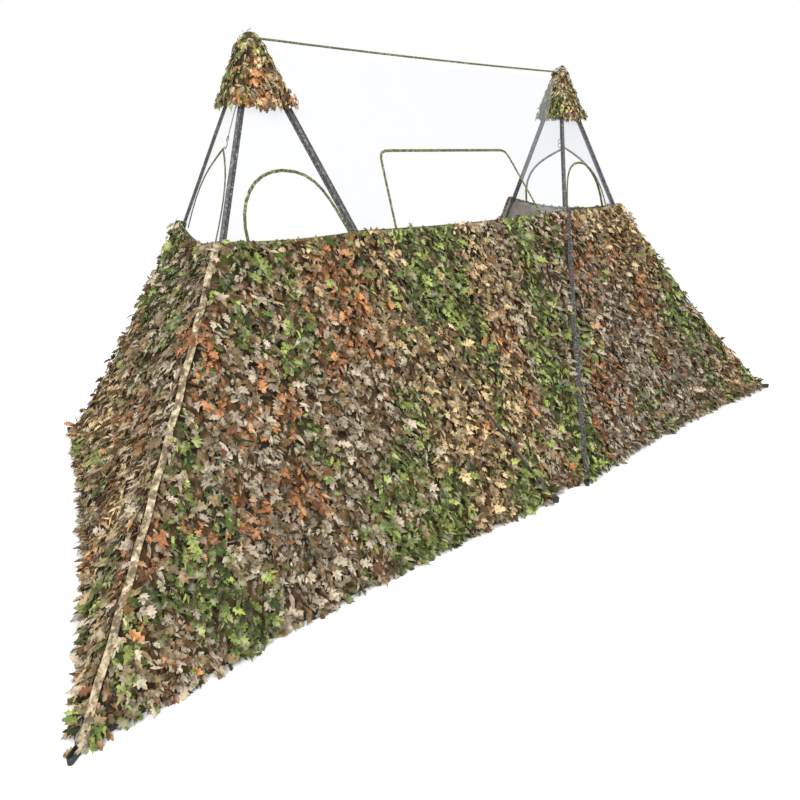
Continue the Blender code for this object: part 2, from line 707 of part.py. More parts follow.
def build():
    clear_scene()
    finishes = {
        "fibreglass": material("black fibreglass", (0.030, 0.030, 0.032), 0.42),
        "rubber": material("black rubber", (0.020, 0.020, 0.020), 0.80),
        "steel": material("zinc plated steel", (0.60, 0.60, 0.58), 0.35, 1.0),
        "plastic": material("black nylon", (0.025, 0.025, 0.027), 0.50),
        "webbing": material("black webbing", (0.035, 0.035, 0.033), 0.85),
        "mesh": material("grey see-through mesh", (0.42, 0.43, 0.45), 0.80),
        "leaf": material("leafy camouflage", (0.28, 0.24, 0.13), 0.90),
        "cord": material("black cord", (0.030, 0.030, 0.030), 0.75),
    }
    leg_pieces = [
        ("upper_pole", upper_pole_mesh(), "fibreglass"),
        ("lower_pole", lower_pole_mesh(), "fibreglass"),
        ("foot_tip", foot_tip_mesh(), "rubber"),
        ("hinge_pin", hinge_pin_mesh(), "steel"),
        ("skirt_clip", skirt_clip_mesh(), "plastic"),
    ]
    loop_mesh = stake_loop_mesh()
    cord_curve = tube(cord_points(), CORD_RADIUS, "hook_cord")
    hook_curve = tube(s_hook_points(), HOOK_WIRE, "s_hook")
    tripods = [Tripod(-1), Tripod(1)]

    for tripod in tripods:
        side = tripod.name
        for leg, azimuth in tripod.azimuths.items():
            pin = pivot(f"{side}_{leg}_pivot", tripod.leg_frame(leg))
            for piece, mesh, finish in leg_pieces:
                place(f"{side}_{leg}_{piece}", mesh, finishes[finish], pin)
            loop = place(f"{side}_{leg}_stake_loop", loop_mesh, finishes["webbing"])
            loop.location = tripod.stakes[leg] + direction(azimuth) * LOOP_START
            loop.rotation_euler.z = azimuth
        hub = place(f"{side}_hub", hub_mesh(tripod), finishes["plastic"])
        hub.location = tripod.hub + UP * PIN_HEIGHT
        cap = place(f"{side}_cap", cap_mesh(tripod), finishes["leaf"])
        cap.location = tripod.hub
        hang = pivot(f"{side}_hook_pivot", hook_frame(tripod))
        place(f"{side}_hook_cord", cord_curve, finishes["cord"], hang)
        place(f"{side}_s_hook", hook_curve, finishes["steel"], hang)
        end_wall = side_mesh_wall(tripod, "back", "corner", END_WINDOW)
        place(f"{side}_end_mesh", end_wall, finishes["mesh"])
        front_wall = side_mesh_wall(tripod, "corner", "middle", FRONT_WINDOW)
        place(f"{side}_front_mesh", front_wall, finishes["mesh"])
        for name, first, second, sag in (
            ("end", "back", "corner", END_RAIL_SAG),
            ("front", "corner", "middle", RAIL_SAG),
        ):
            add_skirt(
                f"{side}_{name}_skirt",
                lambda share, leg=first, own=tripod: own.seam(leg, share),
                lambda share, leg=second, own=tripod: own.seam(leg, share),
                sag,
                finishes["leaf"],
            )

    left, right = tripods
    place("middle_mesh", middle_mesh_wall(left, right), finishes["mesh"])
    add_skirt(
        "middle_skirt",
        lambda share: left.seam("middle", share),
        lambda share: right.seam("middle", share),
        RAIL_SAG,
        finishes["leaf"],
    )
    ridge_half = -left.hub.x - RIDGE_END
    bm = bmesh.new()
    bmesh.ops.create_cube(bm, size=1)
    bmesh.ops.scale(bm, vec=(2 * ridge_half, RIDGE_THICK, RIDGE_TALL), verts=bm.verts)
    ridge = place("ridge_tape", mesh_from(bm, "ridge_tape"), finishes["leaf"])
    ridge.location = (0, left.hub.y, APEX_HEIGHT + TOUCH_GAP - RIDGE_TALL / 2)


build()
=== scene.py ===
"""Looks for the pop up ground blind: leafy skirts and caps, netting, bindings, poles and stage."""

import json
import math

import bmesh
import bpy
import numpy as np
from bpy.props import FloatProperty, FloatVectorProperty, IntProperty, PointerProperty
from mathutils import Matrix, Vector
from mathutils.geometry import tessellate_polygon


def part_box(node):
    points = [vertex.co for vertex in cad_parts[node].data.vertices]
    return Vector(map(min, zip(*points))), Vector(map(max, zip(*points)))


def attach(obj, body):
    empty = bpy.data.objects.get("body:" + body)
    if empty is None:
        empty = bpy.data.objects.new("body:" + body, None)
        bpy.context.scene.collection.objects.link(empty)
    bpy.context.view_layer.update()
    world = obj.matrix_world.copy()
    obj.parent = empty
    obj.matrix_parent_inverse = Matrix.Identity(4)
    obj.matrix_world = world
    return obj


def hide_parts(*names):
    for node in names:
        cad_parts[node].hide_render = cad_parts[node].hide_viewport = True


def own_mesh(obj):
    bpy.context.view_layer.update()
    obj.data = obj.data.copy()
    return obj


bl_info = {
    "name": "Ground Blind Looks",
    "version": (1, 0, 0),
    "blender": (4, 5, 0),
    "location": "View3D > Sidebar > Blind",
    "description": "Builds the cloth, leaves, bindings and finishes of a pop up ground blind",
    "category": "Object",
}

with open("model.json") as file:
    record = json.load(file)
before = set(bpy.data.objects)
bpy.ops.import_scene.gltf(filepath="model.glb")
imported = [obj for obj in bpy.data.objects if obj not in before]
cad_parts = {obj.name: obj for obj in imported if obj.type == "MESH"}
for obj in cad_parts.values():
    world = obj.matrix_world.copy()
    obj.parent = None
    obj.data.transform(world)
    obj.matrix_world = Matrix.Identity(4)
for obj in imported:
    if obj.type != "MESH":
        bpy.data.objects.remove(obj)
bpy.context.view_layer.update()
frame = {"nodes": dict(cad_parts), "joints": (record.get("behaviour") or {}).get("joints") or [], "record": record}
UP = Vector((0, 0, 1))
LEGS = ("back", "corner", "middle")

# Fixed to the frame's own cloth
LOOP_TO_STAKE = 0.029
SKIRT_OFFSET = 0.024
SEAM_BOW = 0.030
HEM_BOW = 0.040
HEM_HEIGHT = 0.008
END_SAG = 0.040
RAIL_SAG = 0.012
ROUND = math.tau
MIDDLE_SEAM_LIFT = 0.034  # stands over the leaves
SEAM_LIFT = 0.008
EDGING_WIDTH = 0.014
EDGING_THICKNESS = 0.0032
RIDGE_WIDTH = 0.016
RIDGE_THICKNESS = 0.005
RIDGE_SAG = 0.006
CAP_LEAVES = 1150
CAP_FRINGE_LEAVES = 190
HEM_LEAVES_PER_METRE = 150
RAIL_LEAVES_PER_METRE = 150
TAPE_STEP = 0.02
FLOOR_REACH = 30.0
KEY_POWER = 340.0
FILL_POWER = 120.0
LAMP_SIZE = 4.0

LEAF_FLOOR = 0.001
STREAK = 0.45  # patches of colour are this much taller than wide, as a share


# ---------------------------------------------------------------- settings


class ClothSettings(bpy.types.PropertyGroup):
    rail_height: FloatProperty(
        name="Rail Height",
        description="Height of the skirts' top edge at the poles",
        default=1.043, unit="LENGTH",
    )
    row_spacing: FloatProperty(
        name="Row Spacing", description="Between two sewn rows of leaves", default=0.066, unit="LENGTH"
    )
    leaf_pitch: FloatProperty(
        name="Leaf Pitch", description="Between leaves along a row", default=0.0155, unit="LENGTH"
    )
    leaf_length: FloatProperty(
        name="Leaf Length", description="Length of a middling leaf", default=0.037, unit="LENGTH"
    )
    cap_leaf_length: FloatProperty(
        name="Cap Leaf Length", description="Length of a leaf on a cap", default=0.027, unit="LENGTH"
    )
    pleat_depth: FloatProperty(
        name="Pleat Depth", description="Depth of the folds between rows", default=0.010, unit="LENGTH"
    )
    seed: IntProperty(name="Seed", description="Picks the scatter of the leaves", default=7)


class BindingSettings(bpy.types.PropertyGroup):
    window_width: FloatProperty(
        name="Window Binding", description="Width of the tape round a window", default=0.011, unit="LENGTH"
    )
    edge_width: FloatProperty(
        name="Edge Binding", description="Width of the tape along a pole", default=0.010, unit="LENGTH"
    )
    seam_width: FloatProperty(
        name="Seam Binding",
        description="Width of the folded tape over a skirt seam",
        default=0.022, unit="LENGTH",
    )
    thickness: FloatProperty(
        name="Tape Thickness", description="Thickness of folded tape", default=0.0026, unit="LENGTH"
    )


class ColourSettings(bpy.types.PropertyGroup):
    tan: FloatVectorProperty(
        name="Tan Leaf", description="Dry leaf", subtype="COLOR", size=3, default=(0.50, 0.36, 0.18)
    )
    bark: FloatVectorProperty(
        name="Bark Leaf", description="Grey bark", subtype="COLOR", size=3, default=(0.36, 0.30, 0.215)
    )
    brown: FloatVectorProperty(
        name="Brown Leaf", description="Wet leaf", subtype="COLOR", size=3, default=(0.15, 0.082, 0.033)
    )
    green: FloatVectorProperty(
        name="Green Leaf", description="Fresh leaf", subtype="COLOR", size=3, default=(0.24, 0.29, 0.075)
    )
    moss: FloatVectorProperty(
        name="Moss Leaf", description="Dark green", subtype="COLOR", size=3, default=(0.085, 0.12, 0.03)
    )
    rust: FloatVectorProperty(
        name="Rust Leaf",
        description="Oak leaf in autumn",
        subtype="COLOR", size=3, default=(0.38, 0.165, 0.065),
    )
    # Painted shade: this near-black colour goes over the leaves' flecks and under them as the ground cloth, for
    # the shadow between leaves.
    shade: FloatVectorProperty(
        name="Shade",
        description="Print between the leaves",
        subtype="COLOR", size=3, default=(0.022, 0.017, 0.010),
    )


class StageSettings(bpy.types.PropertyGroup):
    lens: FloatProperty(name="Lens", description="Focal length in millimetres", default=32.54)
    roll: FloatProperty(name="Roll", description="Camera roll", default=math.radians(1.041), subtype="ANGLE")
    yaw: FloatProperty(
        name="Yaw", description="Camera turn from +Y",
        default=math.radians(43.636), subtype="ANGLE",
    )
    pitch: FloatProperty(
        name="Pitch", description="Camera tilt down",
        default=math.radians(20.401), subtype="ANGLE",
    )
    eye: FloatVectorProperty(
        name="Eye", description="Camera place", subtype="TRANSLATION", size=3, default=(-2.375, -2.448, 1.400)
    )


# ---------------------------------------------------------------- the frame's geometry


def direction(azimuth):
    return Vector((math.cos(azimuth), math.sin(azimuth), 0))


class Tripod:
    """The hub, poles and stake points of one side, worked out from the frame's joints and mounts."""

    def __init__(self, name):
        joints = {j["name"]: j for j in frame["joints"]}
        mounts = {m["name"]: Vector(m["pos_m"]) for m in frame["record"]["mounts"]}
        pins = {
            "middle": Vector(joints[f"{name}_fold"]["pos_m"]),
            "back": Vector(joints[f"{name}_back_leg_fold"]["pos_m"]),
            "corner": Vector(joints[f"{name}_corner_leg_fold"]["pos_m"]),
        }
        feet = {leg: mounts[f"{name}_{leg}_foot"] for leg in LEGS}
        self.name = name
        self.hub = crossing(pins["back"], feet["back"], pins["corner"], feet["corner"])
        self.pins = pins
        self.azimuths = {
            leg: math.atan2(foot.y - self.hub.y, foot.x - self.hub.x) for leg, foot in feet.items()
        }
        pin_radius = (pins["middle"].xy - self.hub.xy).length
        foot_radius = (feet["middle"].xy - self.hub.xy).length
        self.pin_height = pins["middle"].z
        self.slope = (foot_radius - pin_radius) / self.pin_height
        self.lean = math.atan(self.slope)
        self.apex_height = self.pin_height + pin_radius / self.slope
        self.stakes = {
            leg: Vector((*mounts[f"{name}_{leg}_stake"].xy, 0))
            - direction(self.azimuths[leg]) * LOOP_TO_STAKE
            for leg in LEGS
        }

    def on_pole(self, leg, height):
        radius = (self.apex_height - height) * self.slope
        return self.hub + direction(self.azimuths[leg]) * radius + UP * height

    def apex(self):
        return self.hub + UP * self.apex_height

    def outward(self, leg):
        return direction(self.azimuths[leg]) * math.cos(self.lean) + UP * math.sin(self.lean)

    def seam(self, leg, share, rail):
        top = self.on_pole(leg, rail) + self.outward(leg) * SKIRT_OFFSET
        foot = self.stakes[leg] + UP * HEM_HEIGHT
        return top.lerp(foot, share) - self.outward(leg) * (SEAM_BOW * 4 * share * (1 - share))

    def body(self, leg):
        return "frame" if leg == "middle" else f"{self.name}_{leg}_leg"


def crossing(a, b, c, d):
    """Where the plan lines a-b and c-d meet, on the ground."""
    along = (b - a).xy
    other = (d - c).xy
    gap = (c - a).xy
    share = (gap.x * other.y - gap.y * other.x) / (along.x * other.y - along.y * other.x)
    return Vector((a.x + along.x * share, a.y + along.y * share, 0))


class Bay:
    """One bay of the blind, between two seams, with its skirt and its mesh wall."""

    def __init__(self, name, first, second, sag, rail):
        self.name = name
        self.first = first  # (tripod, leg)
        self.second = second
        self.sag = sag
        self.rail = rail
        start, end = self.seam_at(0, 1), self.seam_at(1, 1)
        self.hem_along = (end - start).normalized()
        self.inward = Vector((-self.hem_along.y, self.hem_along.x, 0))
        middle_top = (self.seam_at(0, 0) + self.seam_at(1, 0)) / 2
        if self.inward.dot(middle_top - (start + end) / 2) < 0:
            self.inward.negate()

    def seam_at(self, which, down):
        tripod, leg = (self.first, self.second)[which]
        return tripod.seam(leg, down, self.rail)

    def point(self, across, down):
        swell = 4 * across * (1 - across)
        found = self.seam_at(0, down).lerp(self.seam_at(1, down), across)
        found += self.inward * (HEM_BOW * swell * down**2)
        return found - UP * (self.sag * swell * (1 - down) ** 2)

    def axes(self, across, down):
        """Unit vectors along the bay, down it and out of it."""
        step = 0.01
        along = self.point(min(across + step, 1), down) - self.point(max(across - step, 0), down)
        fall = self.point(across, min(down + step, 1)) - self.point(across, max(down - step, 0))
        along.normalize()
        out = fall.cross(along).normalized()
        if out.dot(self.inward) > 0:
            out.negate()
        return along, out.cross(along).normalized() * (1 if out.cross(along).z < 0 else -1), out


def make_bays(rail):
    left, right = Tripod("left"), Tripod("right")
    bays = [
        Bay("left_end", (left, "back"), (left, "corner"), END_SAG, rail),
        Bay("left_front", (left, "corner"), (left, "middle"), RAIL_SAG, rail),
        Bay("middle", (left, "middle"), (right, "middle"), RAIL_SAG, rail),
        Bay("right_front", (right, "middle"), (right, "corner"), RAIL_SAG, rail),
        Bay("right_end", (right, "corner"), (right, "back"), END_SAG, rail),
    ]
    return left, right, bays


# ---------------------------------------------------------------- materials


class Maker:
    """Makes nodes in one tree."""

    def __init__(self, tree):
        self.tree = tree

    def node(self, kind, settings=None, inputs=None):
        made = self.tree.nodes.new(kind)
        for key, value in (settings or {}).items():
            setattr(made, key, value)
        for key, value in (inputs or {}).items():
            self.plug(made.inputs[key], value)
        return made

    def plug(self, socket, value):
        if isinstance(value, Value):
            value = value.socket
        if isinstance(value, bpy.types.NodeSocket):
            self.tree.links.new(value, socket)
        elif isinstance(value, (tuple, list, Vector)) and socket.type == "RGBA" and len(value) == 3:
            socket.default_value = (*value, 1)
        else:
            socket.default_value = value

    def value(self, socket):
        return Value(self, socket)


class Value:
    """A float socket that can be used in an expression."""

    def __init__(self, maker, socket):
        self.maker = maker
        self.socket = socket

    def _math(self, operation, *values, clamp=False):
        made = self.maker.node("ShaderNodeMath", {"operation": operation, "use_clamp": clamp})
        for socket, value in zip(made.inputs, values):
            self.maker.plug(socket, value)
        return Value(self.maker, made.outputs[0])

    def __add__(self, other):
        return self._math("ADD", self, other)

    __radd__ = __add__

    def __sub__(self, other):
        return self._math("SUBTRACT", self, other)

    def __rsub__(self, other):
        return self._math("SUBTRACT", other, self)

    def __mul__(self, other):
        return self._math("MULTIPLY", self, other)

    __rmul__ = __mul__

    def __truediv__(self, other):
        return self._math("DIVIDE", self, other)

    def sine(self):
        return self._math("SINE", self)

    def clamped(self):
        return self._math("ADD", self, 0.0, clamp=True)

    def above(self, edge, softness):
        """0 below the edge and 1 above it, with a soft step."""
        return ((self - (edge - softness)) / (2 * softness)).clamped()


def shader_for(name):
    """A new material, its maker and its surface shader."""
    made = bpy.data.materials.new(name)
    made.use_nodes = True
    maker = Maker(made.node_tree)
    return made, maker, made.node_tree.nodes["Principled BSDF"]


def object_place(maker):
    return maker.node("ShaderNodeTexCoord").outputs["Object"]


def noise(maker, place, scale, detail=3.0, rough=0.55):
    made = maker.node(
        "ShaderNodeTexNoise", None, {"Vector": place, "Scale": scale, "Detail": detail, "Roughness": rough}
    )
    return maker.value(made.outputs["Fac"])


def mixed(maker, share, first, second):
    made = maker.node("ShaderNodeMix", {"data_type": "RGBA"}, {"Factor": share, 6: first, 7: second})
    return made.outputs[2]


def bumped(maker, shader, height, strength, distance):
    made = maker.node("ShaderNodeBump", None, {"Height": height, "Strength": strength, "Distance": distance})
    maker.plug(shader.inputs["Normal"], made.outputs["Normal"])


def leaf_material(name, colours):
    """Printed leaf cloth: each leaf's own colour, with painted shade in near-black flecks and painted highlights
    in pale cream patches.
    """
    made, maker, shader = shader_for(name)
    place = object_place(maker)
    own = maker.node("ShaderNodeAttribute", {"attribute_name": "leaf_colour"}).outputs["Color"]
    painted_shade_noise = noise(maker, place, 75.0, 4.0, 0.65)
    highlight_noise = noise(maker, place, 28.0, 2.0, 0.5)
    # Painted shade: where this noise is low the leaf turns near black, standing in for the shadow between leaves.
    dark = painted_shade_noise.above(0.44, 0.10)
    # Painted highlight: pale cream patches mixed into the leaves stand in for light falling on them.
    light = highlight_noise.above(0.60, 0.07)
    colour = mixed(maker, (1 - dark) * 0.84, own, tuple(colours.shade))
    pale = mixed(maker, 0.55, own, (0.74, 0.66, 0.50))
    colour = mixed(maker, light * 0.45, colour, pale)
    maker.plug(shader.inputs["Base Color"], colour)
    maker.plug(shader.inputs["Roughness"], 0.78 + painted_shade_noise * 0.18)
    shader.inputs["Specular IOR Level"].default_value = 0.25
    bumped(maker, shader, noise(maker, place, 320.0, 2.0), 0.35, 0.0006)
    return made


def ground_cloth_material(name, colours):
    """The printed cloth under the leaves: near-black painted shade for the gaps between leaves, with brown and
    bark print streaks down it.
    """
    made, maker, shader = shader_for(name)
    place = object_place(maker)
    mapping = maker.node("ShaderNodeMapping", None, {"Vector": place, "Scale": (1.0, 1.0, 0.35)})
    streak = noise(maker, mapping.outputs["Vector"], 34.0, 5.0, 0.6)
    patch = noise(maker, place, 9.0, 3.0)
    # Painted shade: the cloth's base is the shade colour, with brown and bark print streaks over it.
    colour = mixed(maker, streak.above(0.52, 0.10), tuple(colours.shade), tuple(colours.brown))
    colour = mixed(maker, streak.above(0.63, 0.05), colour, tuple(colours.bark))
    colour = mixed(maker, patch.above(0.60, 0.04) * 0.6, colour, tuple(colours.moss))
    maker.plug(shader.inputs["Base Color"], colour)
    maker.plug(shader.inputs["Roughness"], 0.82 + streak * 0.15)
    shader.inputs["Specular IOR Level"].default_value = 0.2
    weave = noise(maker, place, 700.0, 1.0)
    bumped(maker, shader, weave + streak * 0.6, 0.4, 0.0007)
    return made


def lining_material(name):
    """The plain grey-brown back of the cloth."""
    made, maker, shader = shader_for(name)
    place = object_place(maker)
    mottle = noise(maker, place, 22.0, 4.0, 0.6)
    colour = mixed(maker, mottle.above(0.5, 0.16), (0.20, 0.185, 0.16), (0.33, 0.31, 0.275))
    maker.plug(shader.inputs["Base Color"], colour)
    maker.plug(shader.inputs["Roughness"], 0.80 + mottle * 0.15)
    shader.inputs["Specular IOR Level"].default_value = 0.2
    bumped(maker, shader, noise(maker, place, 650.0, 1.0), 0.35, 0.0005)
    return made


def netting_material(name):
    """Fine see-through netting: mostly holes, with pale grey threads."""
    made, maker, shader = shader_for(name)
    uv = maker.node("ShaderNodeUVMap", {"uv_map": "cloth"}).outputs["UV"]
    parts = maker.node("ShaderNodeSeparateXYZ", None, {"Vector": uv})
    pitch = ROUND / 0.0032
    warp = (maker.value(parts.outputs["X"]) * pitch).sine()
    weft = (maker.value(parts.outputs["Y"]) * pitch).sine()
    thread = (warp.above(0.72, 0.2) + weft.above(0.72, 0.2)).clamped()
    cloud = noise(maker, object_place(maker), 2.2, 2.0)
    maker.plug(shader.inputs["Alpha"], 0.110 + thread * 0.130 + cloud * 0.060)
    shader.inputs["Base Color"].default_value = (0.50, 0.52, 0.58, 1)
    shader.inputs["Roughness"].default_value = 0.7
    shader.inputs["Specular IOR Level"].default_value = 0.2
    return made


def tape_material(name, light, mid, dark, grain):
    """Folded tape cut from printed cloth, woven across."""
    made, maker, shader = shader_for(name)
    place = object_place(maker)
    speck = noise(maker, place, grain, 4.0, 0.7)
    patch = noise(maker, place, 7.0, 2.0)
    colour = mixed(maker, speck.above(0.50, 0.06), dark, mid)
    colour = mixed(maker, speck.above(0.60, 0.05) * patch.above(0.45, 0.15), colour, light)
    maker.plug(shader.inputs["Base Color"], colour)
    maker.plug(shader.inputs["Roughness"], 0.72 + speck * 0.2)
    shader.inputs["Specular IOR Level"].default_value = 0.25
    bumped(maker, shader, noise(maker, place, 900.0, 1.0), 0.4, 0.0004)
    return made


def solid_material(name, base, worn, roughness, metallic=0.0, grain=160.0, coat=0.0):
    """A hard finish with a fine mottle and rubbed patches."""
    made, maker, shader = shader_for(name)
    place = object_place(maker)
    fine = noise(maker, place, grain, 4.0, 0.65)
    rub = noise(maker, place, 19.0, 3.0)
    colour = mixed(maker, fine.above(0.56, 0.05) * (0.35 + rub * 0.5), base, worn)
    maker.plug(shader.inputs["Base Color"], colour)
    maker.plug(shader.inputs["Roughness"], roughness + (fine - 0.5) * 0.18)
    shader.inputs["Metallic"].default_value = metallic
    shader.inputs["Coat Weight"].default_value = coat
    bumped(maker, shader, fine, 0.18, 0.0004)
    return made


def make_materials(colours):
    olive = (0.13, 0.15, 0.045)
    return {
        "leaf": leaf_material("leaf_print", colours),
        "ground": ground_cloth_material("ground_cloth", colours),
        "lining": lining_material("cloth_back"),
        "mesh": netting_material("netting"),
        "window_tape": tape_material("window_tape", (0.42, 0.40, 0.22), olive, (0.05, 0.045, 0.03), 120.0),
        "edge_tape": tape_material(
            "edge_tape", (0.30, 0.28, 0.24), (0.09, 0.085, 0.08), (0.03, 0.03, 0.03), 150.0
        ),
        "seam_tape": tape_material(
            "seam_tape", (0.66, 0.55, 0.38), (0.42, 0.34, 0.21), (0.13, 0.10, 0.06), 46.0
        ),
        "pole": solid_material("pole_wrap", (0.045, 0.045, 0.050), (0.27, 0.25, 0.23), 0.46, grain=95.0),
        "rubber": solid_material("foot_rubber", (0.018, 0.018, 0.018), (0.06, 0.055, 0.05), 0.82),
        "plastic": solid_material(
            "black_nylon", (0.022, 0.022, 0.024), (0.07, 0.07, 0.07), 0.50, grain=300.0
        ),
        "steel": solid_material("dark_steel", (0.020, 0.020, 0.022), (0.07, 0.068, 0.065), 0.42, 0.3, 260.0),
        "webbing": tape_material(
            "black_webbing", (0.10, 0.10, 0.10), (0.05, 0.05, 0.052), (0.02, 0.02, 0.02), 420.0
        ),
        "cord": tape_material(
            "braided_cord", (0.07, 0.07, 0.075), (0.03, 0.03, 0.033), (0.012, 0.012, 0.012), 800.0
        ),
    }


# ---------------------------------------------------------------- meshes


def new_piece(name, vertices, faces, material, smooth=True):
    mesh = bpy.data.meshes.new(name)
    mesh.from_pydata([tuple(v) for v in vertices], [], faces)
    mesh.materials.append(material)
    if smooth:
        mesh.shade_smooth()
    mesh.update()
    made = bpy.data.objects.new(name, mesh)
    bpy.context.scene.collection.objects.link(made)
    return made


def apply_modifiers(obj):
    """Turns the evaluated object into a plain mesh with no modifier."""
    graph = bpy.context.evaluated_depsgraph_get()
    mesh = bpy.data.meshes.new_from_object(obj.evaluated_get(graph))
    mesh.name = obj.name
    obj.modifiers.clear()
    old = obj.data
    obj.data = mesh
    if old.users == 0:
        bpy.data.meshes.remove(old)
    return obj


def mesh_area(obj):
    return sum(p.area for p in obj.data.polygons)


def fold_away(obj, line_start, line_end, wall_along):
    """Gives a half wall its own copy of its mesh, after working out the axis across its own pole or seam."""
    line = (line_end - line_start).normalized()
    axis = (wall_along - line * wall_along.dot(line)).normalized()
    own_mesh(obj)


def value_noise(points, scale, seed):
    """Smooth noise from 0 to 1 at each point."""
    rng = np.random.default_rng(seed)
    table = rng.random((16, 16, 16))
    p = np.asarray(points, float) * scale
    cell = np.floor(p).astype(int)
    part = p - cell
    part = part * part * (3 - 2 * part)
    total = np.zeros(len(p))
    for corner in range(8):
        step = np.array([corner & 1, corner >> 1 & 1, corner >> 2 & 1])
        at = (cell + step) % 16
        share = np.prod(np.where(step, part, 1 - part), axis=1)
        total += share * table[at[:, 0], at[:, 1], at[:, 2]]
    return total


# ---------------------------------------------------------------- leaves


def leaf_outline(kind):
    """The right half of a leaf's outline, stem to tip, as (across, along) shares of its length."""
    if kind == "oak":
        lobes = [(0.24, 0.20), (0.12, 0.30), (0.32, 0.44), (0.17, 0.54), (0.30, 0.70), (0.13, 0.78)]
        return [(0.03, 0.0), (0.10, 0.10), *lobes, (0.15, 0.90)]
    if kind == "maple":
        lobes = [(0.28, 0.08), (0.20, 0.24), (0.46, 0.34), (0.24, 0.46), (0.34, 0.66), (0.14, 0.62)]
        return [(0.03, 0.0), *lobes, (0.12, 0.82)]
    if kind == "willow":
        return [(0.03, 0.0), (0.09, 0.18), (0.13, 0.40), (0.10, 0.64), (0.05, 0.84)]
    return [(0.04, 0.0), (0.20, 0.16), (0.10, 0.26), (0.26, 0.40), (0.12, 0.50), (0.22, 0.66), (0.08, 0.76)]


def make_leaf(kind, curl, fold):
    """A flat cut leaf, folded a little along its midrib and curled down at its tip."""
    right = leaf_outline(kind)
    count = len(right)

    def shaped(x, y):
        return (x, -y, fold * abs(x) - curl * y * y)

    vertices = [shaped(x, y) for x, y in right]
    vertices += [shaped(-x, min(1.0, y + 0.03 * (i % 2))) for i, (x, y) in enumerate(right)]
    vertices.append(shaped(0, 1.0))
    ribs = [shaped(0, y) for x, y in right]
    tip = 2 * count
    vertices += ribs
    rib = tip + 1
    faces = []
    for i in range(count - 1):
        faces.append((rib + i, rib + i + 1, i + 1, i))
        faces.append((rib + i, count + i, count + i + 1, rib + i + 1))
    faces.append((rib + count - 1, tip, count - 1))
    faces.append((rib + count - 1, 2 * count - 1, tip))
    mesh = bpy.data.meshes.new(f"leaf_{kind}")
    mesh.from_pydata(vertices, [], faces)
    obj = bpy.data.objects.new(f"leaf_{kind}", mesh)
    return obj


def leaf_collection():
    found = bpy.data.collections.new("leaf_shapes")
    for kind, curl, fold in (
        ("oak", 0.22, 0.25),
        ("maple", 0.30, -0.18),
        ("willow", 0.18, 0.5),
        ("ragged", 0.35, 0.3),
    ):
        found.objects.link(make_leaf(kind, curl, fold))
    return found


def scatter_tree():
    """A node tree that puts a leaf on each point, turned and sized by the point's own attributes."""
    tree = bpy.data.node_groups.new("scatter_leaves", "GeometryNodeTree")
    face = tree.interface
    face.new_socket("Points", in_out="INPUT", socket_type="NodeSocketGeometry")
    face.new_socket("Leaf Shapes", in_out="INPUT", socket_type="NodeSocketCollection")
    length = face.new_socket("Leaf Length", in_out="INPUT", socket_type="NodeSocketFloat")
    length.default_value = 0.05
    face.new_socket("Size Spread", in_out="INPUT", socket_type="NodeSocketFloat").default_value = 0.35
    face.new_socket("Seed", in_out="INPUT", socket_type="NodeSocketInt").default_value = 1
    face.new_socket("Material", in_out="INPUT", socket_type="NodeSocketMaterial")
    face.new_socket("Leaves", in_out="OUTPUT", socket_type="NodeSocketGeometry")
    maker = Maker(tree)
    given = maker.node("NodeGroupInput").outputs
    shapes = maker.node(
        "GeometryNodeCollectionInfo",
        {"transform_space": "ORIGINAL"},
        {"Collection": given["Leaf Shapes"], "Separate Children": True, "Reset Children": True},
    )
    which = maker.node(
        "FunctionNodeRandomValue", {"data_type": "INT"}, {4: 0, 5: 3, "Seed": given["Seed"]}
    )
    spread = maker.node(
        "FunctionNodeRandomValue",
        {"data_type": "FLOAT"},
        {2: -1.0, 3: 1.0, "Seed": given["Seed"]},
    )
    scaled = maker.node(
        "ShaderNodeMath", {"operation": "MULTIPLY_ADD"},
        {0: spread.outputs[1], 1: given["Size Spread"], 2: 1.0},
    )
    sized = maker.node(
        "ShaderNodeMath", {"operation": "MULTIPLY"}, {0: scaled.outputs[0], 1: given["Leaf Length"]}
    )
    own_size = maker.node("GeometryNodeInputNamedAttribute", {"data_type": "FLOAT"}, {"Name": "leaf_size"})
    full = maker.node(
        "ShaderNodeMath", {"operation": "MULTIPLY"}, {0: sized.outputs[0], 1: own_size.outputs["Attribute"]}
    )
    turn = maker.node("GeometryNodeInputNamedAttribute", {"data_type": "FLOAT_VECTOR"}, {"Name": "leaf_turn"})
    rotation = maker.node("FunctionNodeEulerToRotation", None, {"Euler": turn.outputs["Attribute"]})
    points = maker.node("GeometryNodeMeshToPoints", None, {"Mesh": given["Points"], "Radius": 0.001})
    placed = maker.node(
        "GeometryNodeInstanceOnPoints",
        None,
        {
            "Points": points.outputs["Points"],
            "Instance": shapes.outputs["Instances"],
            "Pick Instance": True,
            "Instance Index": which.outputs[2],
            "Rotation": rotation.outputs["Rotation"],
            "Scale": full.outputs[0],
        },
    )
    real = maker.node("GeometryNodeRealizeInstances", None, {"Geometry": placed.outputs["Instances"]})
    painted = maker.node(
        "GeometryNodeSetMaterial", None, {"Geometry": real.outputs["Geometry"], "Material": given["Material"]}
    )
    maker.node("NodeGroupOutput", None, {"Leaves": painted.outputs["Geometry"]})
    return tree


def set_inputs(modifier, values):
    """Sets a modifier's inputs by their identifiers."""
    for item in modifier.node_group.interface.items_tree:
        if item.item_type == "SOCKET" and item.in_out == "INPUT" and item.name in values:
            modifier[item.identifier] = values[item.name]


class LeafPoints:
    """Gathers leaf places for one piece."""

    def __init__(self):
        self.places, self.turns, self.sizes = [], [], []

    def add(self, place, along, down, out, spin, lift, roll, size):
        """A leaf that hangs down at this place, then is spun about out, lifted at its tip and rolled."""
        base = Matrix((along, -down, out)).transposed()
        turn = base @ Matrix.Rotation(spin, 3, "Z") @ Matrix.Rotation(-lift, 3, "X")
        turn = turn @ Matrix.Rotation(roll, 3, "Y")
        self.places.append(tuple(place))
        self.turns.append(tuple(turn.to_euler("XYZ")))
        self.sizes.append(size)


